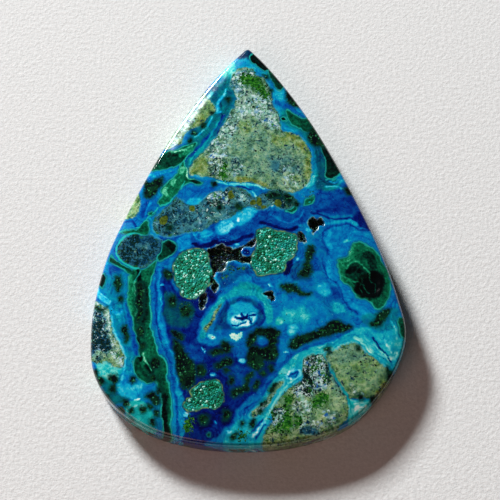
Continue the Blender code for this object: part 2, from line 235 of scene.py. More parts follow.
    (0.78, 0.5, 0.2, [8.1, 8, 8.7, 8.2, 8.8, 7.4, 8, 6.8, 7.3, 6.3, 7.2, 6.7, 7.7, 7.4]),
    (0.54, 0.45, 1.2, [-17.6, -5.4, -15.2, -5.2, -15.2, -9, -14.4, -12.4, -13.6, -15.4, -14.4, -17.6,
        -15.8, -16.4, -16.4, -12, -17.4, -8.6]),
    (0.4, 0.75, 1.5, [-6.4, 18, -2.6, 22.4, -1.6, 19.6, -2.6, 15.4, -5.4, 11.4, -8.4, 8.6, -7.4, 12.8]),
    (0.5, 0.85, 0.8, [4.4, 17.6, 6.2, 16.2, 8.4, 13, 10.4, 9.6, 11.4, 6.6, 9.4, 6, 9, 9, 8.4, 11.6,
        6.2, 14.4, 4.2, 15.4]),
    # dark green-blue tip, and the teal band between the top clast and the right flank's malachite
    (0.14, 0.6, 0.3, [-1.4, 25, -0.6, 26.2, 0.4, 26.8, 1.2, 26, 0.6, 25.2, -0.4, 24.9]),
    (0.34, 0.7, 0.5, [8.2, 13.2, 9.4, 12, 10.4, 9.6, 11, 7.2, 9.8, 6.2, 8.4, 6.2, 8.6, 8, 8.8, 9.4,
        8.4, 11.2]),
]

# Lines in the ground: tone, green, half width, route
STREAKS = [
    (0.62, 1.0, 0.2, [9.3, -15.6, 9.8, -16.6, 10.6, -18.2, 11.6, -20, 12.4, -21.8]),
    (0.02, 0.0, 0.24, [-6.8, -1.2, -6, -1.65, -5, -1.6, -4.2, -1.1, -3.2, -1.4, -2, -1.2, -1, -0.6,
        0.5, -0.3]),
    (0.05, 0.0, 0.16, [1.4, 1.5, 2.6, 1.2, 3.6, 0.8, 4.8, 0.55, 6, 0.9]),
    (0.02, 0.0, 0.3, [5.2, -3.4, 4.9, -4.2, 4.7, -5]),
    (0.02, 0.0, 0.35, [-5.1, -7.3, -4.6, -8, -4.3, -7.5]),
    (0.55, 0.0, 0.08, [-6.6, 0.1, -6.3, -0.6, -5.4, -0.95, -4.6, -0.6, -4.2, 0]),
    (0.5, 0.0, 0.07, [-3.9, 0, -3.6, -0.7, -2.9, -0.8, -2.4, -0.4]),
    (0.72, 0.0, 0.08, [-6.9, 0.3, -6.6, -0.3, -6.2, 0.2]),
    # pale line round the blue island under the long cavity
    (0.62, 0.0, 0.05, [-3.6, -7, -3.9, -6, -4, -5.2, -3.6, -4.85, -3.05, -4.8, -2.9, -4.2, -2.3, -3.7,
        -1.9, -3.4, -1.5, -3.8, -0.4, -3.9, 0, -4.2, 0.4, -4.8, 0.9, -5.4]),
    # halo round the middle eye
    (0.66, 0.6, 0.38, [-5.6, -13.2, -5.2, -11.6, -4.2, -10, -3.3, -8.8, -2, -7.9, -0.4, -7.6, 1, -7.9,
        2, -8.8, 2.5, -10, 2.4, -11.2]),
    (0.2, 0.0, 0.14, [1.4, -9.4, 1.9, -10.4, 1.8, -11.2, 1.2, -12]),
    # navy twigs in the pale oval
    (0.0, 0.0, 0.07, [-1.6, -10.85, -1.1, -11.1, -0.5, -10.9, 0.1, -10.6, 0.9, -10.4]),
    (0.0, 0.0, 0.06, [-1.3, -10.9, -0.8, -11.25, -0.4, -11, 0, -11.25, 0.4, -11.6]),
    (0.0, 0.0, 0.05, [-0.9, -10.5, -0.5, -10.8, -0.2, -10.45]),
    (0.02, 0.0, 0.04, [-2, -11.85, -1.2, -11.75, -0.6, -11.5, -0.3, -11.4]),
    (0.0, 0.0, 0.13, [-1.1, -11, -0.3, -10.95]),
    (0.0, 0.0, 0.05, [0, -10.9, 0.3, -11.2, 0.2, -11.5]),
    # rings of the right eye's shell
    (0.3, 0.0, 0.09, [9.7, 0.9, 9.2, -0.2, 9.3, -1.2, 9.8, -2.4, 9.2, -3.2, 9.3, -4.4, 9.9, -5.6,
        10.7, -6.4, 11.2, -7.2, 11.6, -8.4, 12.4, -9.6, 13.2, -10.2]),
    (0.28, 0.0, 0.09, [9.8, 0.9, 10.8, 1.3, 12.2, 1.55, 13.3, 1.3, 14, 0.8, 15.6, 0.9]),
    (0.66, 0.25, 0.2, [9.4, 1.4, 10.4, 1.7, 11.6, 2, 12.8, 1.9, 13.6, 1.4]),
    (0.66, 0.0, 0.25, [10.2, 0.4, 9.8, -0.8, 10.2, -1.8]),
    (0.66, 0.0, 0.3, [9.8, -3.8, 9.8, -4.8, 10.6, -5.9]),
    (0.62, 0.0, 0.25, [12.2, -8.2, 13, -9.4, 14.2, -10]),
    (0.5, 0.2, 0.06, [8.8, -2.6, 9.5, -2.3, 9.4, -3, 9, -3.8, 9.1, -4.8, 9.6, -5.8]),
    # lines in the turquoise border
    (0.4, 0.0, 0.16, [-1, -22.7, 0.8, -21, 2.2, -19.2, 3.4, -17.2, 4.8, -15.9, 6.8, -14.7, 9.2, -13.8,
        11.2, -13.1, 12.6, -12.3]),
    (0.74, 0.6, 0.45, [9.2, -14.6, 6.6, -15.6, 5, -16.8, 3.6, -18.4, 2.6, -20.2]),
    (0.88, 0.7, 0.12, [1.4, -24.4, 2.4, -22.6, 3.4, -21, 4.4, -19.4, 5.2, -18.6]),
    (0.9, 0.75, 0.2, [12.9, -13.3, 13.6, -13.8, 14.3, -14.5, 14.9, -15]),
    (0.88, 0.8, 0.16, [15.3, -13.6, 15.8, -14.5, 16.4, -15.1, 17, -15.8]),
    (0.88, 0.6, 0.24, [17.1, -15.7, 17.7, -15.4, 17.9, -15]),
    (0.9, 0.5, 0.14, [16.4, -13.4, 16.9, -14.1, 17.3, -14.9]),
    (0.02, 0.1, 0.07, [15, -13.2, 15.5, -13.7, 16, -14.6, 16.7, -15.3, 17.1, -16]),
    (0.85, 0.4, 0.08, [17.4, -11.2, 17.9, -12.2, 18.1, -13.4]),
    (0.4, 0.4, 0.08, [17.8, -10.8, 18.3, -11.8, 18.4, -13]),
    (0.95, 0.1, 0.13, [0.6, -25.2, 1.2, -24.4, 1.9, -23.7]),
    (0.25, 0.0, 0.07, [0.4, -24.8, 1.1, -24.1, 1.7, -23.5]),
    (0.25, 0.0, 0.07, [0.9, -25.4, 1.5, -24.6, 2, -24]),
    # blue ring in the border
    (0.9, 0.1, 0.13, [4.5, -18.1, 4.9, -17.6, 5.5, -17.3, 6.1, -17.5, 6.2, -17.9, 5.7, -18.3, 5, -18.4,
        4.6, -18.25]),
    (0.3, 0.0, 0.1, [4.9, -18.1, 5.3, -17.7, 5.9, -17.6, 5.8, -18, 5.2, -18.15]),
    (0.6, 0.0, 0.1, [5.2, -17.95, 5.6, -17.85]),
    # left flank
    (0.85, 0.15, 0.26, [-18.9, -6.6, -18.4, -7.5, -17.7, -8.2, -17.1, -8.6]),
    (0.8, 0.15, 0.17, [-16.7, -10.6, -16.4, -12.1, -15.8, -13.5, -15.2, -14.7, -14.9, -15.8, -15, -17.2,
        -15.2, -18.4]),
    (0.7, 0.05, 0.14, [-17, -9.2, -16.4, -9.8, -15.9, -10.2, -15.5, -9.8]),
    (0.36, 0.0, 0.2, [-14.9, -9.2, -14.4, -11.6, -13.9, -13.6, -13.5, -15.2]),
    (0.68, 0.1, 0.14, [-13.9, -16.4, -13.6, -17.6, -13, -18.6, -12.2, -19.2]),
    (0.34, 0.0, 0.1, [-11.6, -4.6, -11.4, -6, -11.5, -8, -11.3, -10, -11, -12, -10.4, -14.2, -9.5, -16.2,
        -9.2, -18.2, -8.8, -20.4, -8.5, -23, -8.3, -25.4]),
    (0.62, 0.0, 0.12, [-11, -4.6, -10.9, -6.4, -11, -8.2, -10.6, -8.9, -10.9, -10.2, -10.5, -12.2,
        -9.8, -14.2, -9.1, -15.6, -8.9, -17.4, -8.5, -19.4]),
    (0.24, 0.0, 0.12, [-10.5, -4.4, -10.7, -6, -10.6, -7.8, -10.4, -8.6, -10.5, -10]),
    # flowing lines of the upper left flank
    (0.3, 0.1, 0.16, [-8.6, 9.2, -8, 10.4, -7, 11.4, -5.9, 12.6, -4.6, 14, -3.8, 15.2, -3.2, 16.4]),
    (0.66, 0.7, 0.08, [-7.6, 9.6, -7.1, 10.8, -6, 12, -4.9, 13.4, -4.3, 14.6, -4, 15.6]),
    (0.78, 0.2, 0.1, [-6.9, 13.4, -5.8, 14.4, -4.9, 15.6, -4.4, 16.6, -3.6, 17]),
    (0.3, 0.0, 0.1, [-6, 10.6, -5.4, 11.6, -4.6, 12.6, -3.9, 13.8, -3.2, 15.2]),
    (0.55, 0.7, 0.12, [-7, 10, -6.4, 11.2, -5.5, 12.2, -4.6, 13.2]),
    (0.8, 0.1, 0.14, [-4, 17, -3.8, 18.4, -3.3, 19.2, -2.9, 20.2]),
    (0.75, 0.6, 0.06, [-12.6, 8.4, -11.8, 8.1, -10.8, 8.5, -9.8, 8.8]),
    (0.3, 0.0, 0.12, [-13.9, 1, -14.4, 1.8, -15.6, 2]),
    (0.3, 0.0, 0.12, [-12.6, 4.4, -13.2, 3.6, -13.4, 2.6]),
    (0.62, 0.0, 0.1, [-12.2, 4.6, -12.8, 3.8, -12.9, 2.8]),
    (0.88, 0.5, 0.14, [-4, 7.2, -3.2, 6.8, -2.4, 6.7, -1, 6.7, 0.2, 6.6, 1.4, 6.5, 2, 6.1]),
    (0.88, 0.3, 0.12, [-0.2, 6.4, 0.4, 5.8, 0.9, 5.2, 1.2, 4.8]),
    (0.06, 0.0, 0.07, [-2.5, 6.35, -1.6, 6.3, -0.6, 6.3, 0.3, 6]),
    # right flank
    (0.8, 0.1, 0.08, [9.8, 6.6, 11, 6.6, 12, 6.4]),
    (0.75, 0.1, 0.14, [12.4, 7.4, 12.9, 6.8, 13.3, 6]),
    (0.66, 0.1, 0.12, [10.4, 7.2, 11.8, 7.6, 12.4, 8.8]),
    (0.5, 0.3, 0.14, [10, 2.4, 11.6, 2.6, 13, 2.6]),
    (0.2, 0.0, 0.2, [8.6, 3, 9.8, 3.3, 11.2, 3.4]),
    (0.2, 0.0, 0.25, [11.8, 5, 12.8, 5, 13.4, 4.4]),
    (0.56, 0.0, 0.07, [2.7, 2.5, 3.9, 1.8, 5.2, 1.5, 6.4, 2.2, 6.9, 3.2]),
    (0.1, 0.0, 0.07, [7.9, 2.9, 9.4, 2.5, 10.8, 2.2, 12.4, 2.4, 13.6, 2]),
]

# Small spots of ground: tone, green, centre, radii, turn in degrees
SPOTS = [
    (1.0, 0.1, (-1.2, 1.9), (0.2, 0.34), -20), (0.98, 0.1, (-9.7, 2.1), (0.16, 0.32), 0),
    (0.9, 0.2, (2.95, 3.85), (0.2, 0.45), 0), (0.85, 0.1, (-4.2, -17.9), (0.4, 0.24), 0),
    (0.84, 0.1, (-0.8, -16.4), (0.6, 0.36), -10), (0.92, 0.0, (-7.3, -22.7), (0.42, 0.4), 0),
    (0.98, 0.4, (-13.2, -20.7), (0.42, 0.12), 8), (0.9, 0.5, (-14.4, -21.4), (0.3, 0.16), -20),
    (0.9, 0.4, (-13.4, -21.7), (0.35, 0.2), 40), (0.95, 0.2, (2.75, -6.7), (0.12, 0.34), 35),
    (0.9, 0.0, (6.1, -3.3), (0.25, 0.2), 0), (0.8, 0.0, (7.4, 0.6), (0.42, 0.35), 0),
    (0.9, 0.0, (-2.4, -24.7), (0.3, 0.22), 0), (0.85, 0.0, (-4.0, -23.6), (0.3, 0.08), -30),
    (0.9, 0.0, (-5.6, -14.9), (0.12, 0.22), 20), (0.9, 0.0, (-5.3, -15.1), (0.1, 0.16), 20),
    (0.9, 0.2, (4.6, -15.2), (0.28, 0.1), 10), (0.88, 0.2, (5.2, -12.3), (0.16, 0.3), 0),
    (0.85, 0.0, (-1.4, -1.4), (0.3, 0.16), 20), (0.8, 0.1, (-1.9, -2.0), (0.25, 0.16), 0),
    (0.35, 0.0, (-0.3, -2.5), (0.6, 0.52), 0), (0.1, 0.0, (-0.3, -2.5), (0.42, 0.36), 0),
    (0.7, 0.0, (-0.4, -2.6), (0.16, 0.1), 0), (0.85, 0.0, (-10.6, -6.6), (0.3, 0.14), -15),
    (0.85, 0.1, (4.9, 5.4), (0.35, 0.16), -20), (0.9, 0.1, (-8.1, 1.2), (0.14, 0.14), 0),
    (0.5, 0.0, (1.6, -13.4), (0.95, 0.82), 0), (0.66, 0.0, (1.5, -13.3), (0.22, 0.14), 0),
    (0.02, 0.0, (-5.4, -23.3), (1.25, 1.1), 0), (0.02, 0.0, (-2.7, -22.8), (1.1, 1.25), 0),
    (0.7, 0.9, (3.7, -11.3), (0.5, 0.5), 0), (0.85, 0.8, (3.9, -11.5), (0.22, 0.16), 0),
    (0.85, 0.4, (8.7, -6.8), (0.4, 0.09), 20), (0.5, 0.9, (7.0, 15.0), (0.62, 0.55), 0),
    # the last spot on the next line, pale and drawn out along the upper left bevel, is partly pale stone
    # and partly a painted highlight of the lamp's sheen there
    (0.35, 0.6, (7.0, 15.0), (0.45, 0.38), 0), (0.9, 0.6, (-5.0, 19.4), (0.6, 0.3), 50),
]

# Host rock: tint runs from blue-grey (0) over grey-green (0.4) and olive (0.75) to brown (1)
CLASTS = [
    (0.42, [-1.3, 23.3, 0.1, 23.4, 1, 22.3, 2, 21.9, 2.6, 20.8, 2.9, 19.6, 3.1, 18.2, 3.7, 17, 3.9, 15.4,
        4.1, 14.3, 5.4, 14, 6.5, 13.6, 7.4, 12.3, 7.9, 10.6, 8, 8.8, 7.6, 7.4, 6.9, 6.4, 5.9, 5.8, 4.8, 5.6,
        3.4, 5.7, 2.4, 6.2, 1.2, 6.8, -0.8, 7, -3, 7.2, -4.8, 7.8, -6.6, 8, -7.5, 8.2, -7.7, 8.9, -7, 9.9,
        -6.2, 10.8, -5.2, 11.9, -4.3, 13.2, -3.4, 14.6, -2.7, 15.9, -2.2, 17.1, -1.7, 18.4, -1.7, 19.6,
        -2.3, 20.6, -2.3, 21.8, -1.8, 22.8]),
    (0.14, [-11.6, 0.4, -11.6, 2.4, -10.2, 3.8, -9, 5, -7.8, 3.9, -6.2, 4.2, -5, 5.4, -3.2, 5.9, -2.2, 6.3,
        -0.4, 5.9, 0.6, 4.9, 2, 5.4, 3.4, 5.9, 5, 5.4, 5.9, 4.6, 5.9, 3.9, 4.6, 3.3, 3, 3.9, 1.6, 3.3,
        0, 3.7, -1.2, 3.2, -2.2, 2.4, -3.4, 1.9, -4.6, 1.2, -5.8, 0.5, -7.4, 0.3, -9, 0, -10.4, -0.2]),
    (0.56, [-17, 2.8, -15.2, 2.4, -14.4, 2.4, -13.9, 3, -13.7, 4.2, -13.8, 5.2, -14, 6.2, -15.4, 7]),
    (0.46, [-6.6, 20.8, -5.4, 19, -4.6, 18.3, -4.2, 17.5, -4.5, 16.7, -5.4, 16.1, -6.1, 15.2, -7, 14.8,
        -7.9, 14.2, -8.4, 13.4, -9, 12.4, -10.2, 12.1, -12, 12.4, -9.4, 18]),
    (0.5, [-20.4, -8.2, -18.9, -8.3, -18, -8.9, -17.3, -9.5, -16.9, -10.6, -16.6, -12, -16.2, -13.2,
        -15.6, -14.2, -15.2, -15, -15, -16.4, -15.4, -17, -16.4, -16.8, -17.2, -16, -18, -16.4, -19, -16,
        -20.6, -14]),
    (0.6, [9.3, -15.2, 10.6, -14.9, 11.8, -14.2, 12.6, -13.9, 13.4, -14.5, 14.3, -15.3, 15.3, -16,
        16.6, -16.9, 17.4, -17.6, 18.6, -18, 17.6, -20, 15.9, -21, 14.9, -20.8, 13.6, -20.7, 12.3, -20.8,
        11.9, -20, 11.3, -19.2, 10.7, -18.2, 10.1, -17.2, 9.5, -16.3]),
    (0.55, [6.9, -16, 8.8, -15.5, 9.4, -16.5, 9.8, -17.4, 10.4, -18.6, 11.1, -19.6, 11.7, -20.6, 11.9, -22,
        11.6, -23.2, 10.6, -24.2, 10, -25.6, 6.5, -27, 3, -27.4, 1.6, -26.4, 2.2, -24.6, 3, -23.4,
        2.8, -22.3, 3.6, -21.2, 4.4, -20.1, 5.4, -19.2, 6.5, -18.4, 6.5, -17.2]),
    (0.5, [4.1, -18.6, 3.4, -19, 2.7, -20.1, 1.9, -21.2, 1, -22, 0.2, -22.8, 0.4, -23.1, 1.4, -22.6,
        2.4, -21.4, 3.2, -20.2, 3.9, -19.3]),
    (0.12, [-16.3, -2, -15.9, -0.8, -15, 0.1, -14, 0.3, -13.2, -0.1, -12.2, -0.1, -11.4, -0.6, -10.6, -0.9,
        -10.4, -2, -11.2, -3, -12.2, -3.9, -13, -4.2, -14, -4.1, -15, -3.8, -15.8, -2.9]),
    (0.62, [-3.3, -9.2, -3.9, -9.9, -4.4, -10.8, -4.8, -11.7, -5.5, -12.3, -5.1, -12.7, -4.5, -12,
        -4.1, -11, -3.6, -10]),
]

# Changes of the rock's tint and of its grains: tint, dark grains, pale grains (on the upper left bevel
# partly a painted sheen), feather, outline
ROCK_AREAS = [
    # the top clast
    (0.34, 0.35, 0.75, 0.5, [-1.8, 20.2, 0.6, 19.8, 2.6, 19.4, 3.2, 17.8, 4, 15.6, 3.8, 14.2, 2.6, 14.4,
        1.6, 15.4, 0.4, 16.4, -1, 15.8, -1.6, 14.2, -2.6, 12.4, -2.8, 10.4, -4.4, 10.6, -5.6, 11.2,
        -4.4, 13.4, -2.8, 16, -2, 18.2]),
    (0.62, 0.25, 0.3, 0.3, [-1.2, 15.4, -0.2, 15.6, 0.6, 14.8, 0, 14, -1, 14.2]),
    (0.4, 0.3, 0.15, 0.6, [-2.6, 11.6, 0, 13.4, 3, 13, 5, 12.4, 5, 9, 2, 7.4, -1.6, 7.6, -2.4, 9.4]),
    (0.3, 0.45, 0.25, 0.5, [2.4, 10.2, 4, 10.6, 5.8, 10.4, 6.6, 9.2, 5.6, 7.6, 4, 8, 2.8, 8.8]),
    (0.5, 0.3, 0.6, 0.4, [4.4, 8, 6.2, 8.2, 6.6, 6.8, 5.4, 5.8, 4.4, 6.6]),
    (0.72, 0.3, 0.15, 0.25, [4.6, 14, 6.2, 13.7, 7.3, 12.4, 7.8, 10.4, 7.9, 8.8, 7.4, 7.6, 6.8, 8.2,
        7.2, 9.6, 7, 11.2, 6, 12.2, 5.2, 13]),
    (0.62, 0.2, 0.15, 0.3, [3, 13.8, 4.6, 13.6, 5.4, 12.6, 4.4, 12, 3, 12.6]),
    (0.7, 0.15, 0.1, 0.25, [-7.4, 8.4, -6.8, 9.8, -5.8, 10.6, -5.2, 9.6, -5.1, 8.2, -6.4, 8.3]),
    (0.8, 0.3, 0.1, 0.2, [-1.6, 7.7, 0.6, 7.5, 2.2, 7, 2.4, 6.5, 0.8, 6.9, -1.4, 7.1]),
    (0.45, 0.5, 0.75, 0.3, [-4.9, 10.8, -3.4, 10.8, -3.2, 8.2, -4.2, 7.8, -4.9, 8.6]),
    (0.3, 0.4, 0.6, 0.3, [-2, 10.4, -1, 10.4, -1, 8.2, -2, 7.9]),
    (0.12, 0.1, 0.0, 0.2, [2.9, 9.9, 3.5, 9.9, 3.9, 8.9, 3.2, 8.5]),
    (0.1, 0.2, 0.95, 0.4, [-2.2, 22.4, 0.4, 23.2, 1.4, 22.2, -0.6, 21.2, -1, 19.8, -2.2, 20.4]),
    # the speckled patch under it
    (0.15, 0.36, 0.36, 0.5, [-6.4, 4.2, -4.6, 4.2, -2.6, 3.4, -2.6, 2.4, -4.6, 1.6, -7.4, 1.4, -8.2, 2.4]),
    (0.11, 0.5, 0.25, 0.5, [-11.6, 0.2, -11.4, 2.6, -9.2, 4.8, -8, 3.6, -8.2, 1, -9.4, 0]),
    (0.16, 0.7, 0.75, 0.3, [-5.2, 5.4, -3, 5.8, -2.4, 4.2, -4.6, 3.8, -5.4, 4.4]),
    (0.2, 0.4, 0.5, 0.3, [-1.6, 6.1, 0.2, 5.6, 0, 4.2, -1.4, 4, -1.9, 5]),
    (0.25, 0.65, 0.3, 0.3, [2, 5.4, 4, 5.8, 5.6, 5.2, 5.6, 3.9, 4.4, 3.5, 2.6, 4.4]),
    # the blue disc
    (0.02, 0.5, 0.05, 0.3, [-16, -2, -15, 0, -13.4, 0.2, -12, 0, -10.8, -1, -11, -2.6, -12.4, -3.8, -14, -4,
        -15.4, -3.6]),
    # left flank clasts
    (0.58, 0.12, 0.35, 0.3, [-17, 2.8, -14.6, 2.4, -13.9, 3.4, -14, 6, -15.4, 6.6]),
    (0.66, 0.3, 0.2, 0.3, [-5.4, 18.5, -4.4, 18.2, -4.3, 17.2, -5.2, 16.3, -6.1, 15.3, -7, 14.9, -7.3, 15.4,
        -6.8, 16.4, -6.2, 17.6]),
    # the next two areas fill the upper left bevel with pale grains: partly the clast's own pale grains,
    # partly a painted sheen where the lamp's glare falls
    (0.34, 0.25, 1.0, 0.4, [-6.9, 19.4, -5.6, 19.4, -6.7, 16.4, -7.4, 15.4, -7.6, 14.4, -9.4, 14.6,
        -8.4, 16.6]),
    (0.5, 0.3, 0.8, 0.3, [-8.4, 13.9, -8.8, 12.8, -9.4, 12.2, -11.4, 12.4, -10.2, 14.4]),
    (0.45, 0.25, 0.85, 0.25, [-20, -8.4, -18.8, -8.3, -17.4, -9.4, -16.9, -10.8, -16.5, -12.6, -15.7, -14.4,
        -15.1, -16.2, -15.6, -16.9, -16.4, -15.6, -16.9, -13.6, -17.3, -11.2, -18, -9.6, -19, -9]),
    (0.03, 0.75, 0.5, 0.45, [-19.6, -9.6, -18.2, -9.6, -17.4, -11, -17, -13, -16.8, -14.4, -17.6, -15.4,
        -18.8, -15.6, -20, -13]),
    (0.4, 0.5, 0.4, 0.3, [-18.6, -14.6, -17.6, -15, -17.6, -16, -18.6, -16.2]),
    # lower right clasts
    (0.42, 0.3, 0.1, 0.5, [9.3, -15.2, 11.8, -14.2, 12.6, -13.9, 14.4, -15.4, 13.4, -16.2, 10.6, -16.4]),
    (0.54, 0.24, 0.08, 0.6, [10.6, -17, 13.6, -16.6, 16.6, -17.2, 16.6, -19, 14.6, -20.4, 12.2, -20.2,
        11, -18.6]),
    (0.5, 0.1, 0.5, 0.3, [12, -19, 13.4, -19.2, 13.6, -20.2, 12.2, -20.4]),
    (0.85, 0.4, 0.0, 0.2, [16.4, -18.6, 17, -19.4, 15.8, -20.8, 14.8, -20.8, 15.4, -19.8]),
    (0.4, 0.9, 0.85, 0.4, [6.7, -16, 8.8, -15.6, 9.6, -17, 9.8, -18.8, 9, -20.2, 6.4, -20.6, 5.2, -20,
        6.5, -18.3]),
    (0.34, 0.5, 0.2, 0.4, [9.4, -16, 10.2, -17.4, 11, -19, 11.9, -20.6, 11, -20.4, 10, -18.8, 9.4, -17.4]),
    (0.52, 0.25, 0.14, 0.5, [8.4, -19.8, 10.4, -19.8, 11.6, -21.4, 11.2, -22.8, 9.4, -22, 7.6, -22.6,
        7.4, -21]),
    (0.45, 0.3, 0.85, 0.4, [5.2, -21.2, 7.2, -21.2, 7.4, -22.6, 5.8, -22.6]),
    (0.45, 0.15, 0.85, 0.35, [8.8, -22.4, 10.2, -22.2, 10.4, -23.4, 9.2, -23.4]),
    (0.5, 0.4, 0.7, 0.4, [6, -23.4, 8.6, -23.4, 10, -23.8, 9, -24.8, 6, -25]),
    (0.1, 0.6, 0.3, 0.2, [6.2, -24.4, 7.6, -24.3, 8.6, -24.9, 7, -25.2, 6, -25]),
    (0.35, 0.6, 0.75, 0.35, [2.8, -22, 4.4, -22.2, 4.4, -23.8, 3, -24.2]),
    (0.62, 0.35, 0.2, 0.25, [1.4, -25.2, 4, -25.2, 6.4, -25.3, 9.4, -24.8, 10.6, -24.4, 10, -26, 6, -27.2,
        1.6, -27]),
    (0.42, 0.05, 0.8, 0.2, [4, -18.7, 3.4, -19.2, 2, -21.2, 0.6, -22.6, 1.2, -22.7, 2.4, -21.4,
        3.6, -19.8]),
    # the speckled disc at the left
    (0.06, 0.75, 0.12, 0.4, [-16.2, -2, -15.6, -0.6, -14, 0.1, -13.4, -1.6, -13.6, -3.8, -15, -3.6]),
    (0.1, 0.45, 0.25, 0.4, [-13.6, -1.4, -12.4, -1, -11.6, -1.6, -12.2, -3, -13.4, -2.8]),
    (0.62, 0.4, 0.0, 0.1, [-3.3, -9.2, -4.4, -10.8, -5.4, -12.3, -4.8, -12.4, -4.1, -11, -3.6, -10]),
]

# Vivid green moss-like copper silicate
MOSS = [
    [-1.5, 21.9, -0.9, 22.6, 0, 22.8, 0.8, 22.4, 1.6, 21.6, 2.3, 20.5, 2.7, 18.9, 2, 18.6, 1, 19.8,
        -0.1, 20.5, -1, 21],
    [-3.6, 8, -3.3, 9.6, -2.9, 9.9, -2.5, 8.6, -2.7, 7.3, -3.3, 7.2],
    [2.4, -24.8, 3.2, -24.2, 4, -22.6, 4.2, -20.6, 5.4, -20, 5.1, -22.2, 5.5, -24.4, 4.2, -24.9],
    [5.6, -22.6, 6.5, -22.8, 6.5, -23.7, 5.7, -24.4],
    [7.6, -20.6, 9.4, -20.2, 9.6, -21.2, 8.4, -22, 7.5, -22.4],
    [8.1, -16.2, 8.7, -16, 8.8, -16.7, 8.2, -16.9],
    [7.4, -17, 7.9, -16.8, 8, -17.7, 7.6, -17.9],
    [8.8, -18, 9.3, -17.8, 9.4, -18.8, 8.9, -19],
    [7.2, -19.2, 8, -19.2, 7.8, -19.9, 7.2, -19.8],
    [-7.7, -23.5, -7, -23, -6.5, -23.4, -6.6, -24.3, -7, -25, -7.6, -24.7, -7.8, -24.2],
    [-1.3, -25.4, -0.8, -24.5, -0.2, -24.8, -0.1, -25.6, -0.8, -25.9],
    [2.7, -22.2, 3, -22.4, 2.9, -23.3, 2.6, -23],
    [-8, -18.4, -7, -18.6, -6.6, -19.2, -7.4, -19.8],
    [-3.2, -5.5, -2.7, -5.4, -2.5, -5.9, -3, -6.1],
    [-2.4, -4.3, -2.1, -4.3, -2, -4.9, -2.4, -5],
    [-1.2, -4.5, -0.7, -4.4, -0.5, -4.7, -1, -4.8],
    [7.5, 5.2, 8.1, 5.6, 8, 5, 7.5, 4.4, 7.2, 4.7],
    [6.6, -4.8, 7.4, -4.4, 7.5, -5.2, 6.6, -5.6, 6.1, -5.2],
    [7.4, -1.8, 8.2, -1.7, 7.8, -2.3, 7.2, -2.6],
    [-8.3, -9.6, -7.4, -9.3, -6.9, -9.9, -7.2, -10.6, -8, -10.5],
]

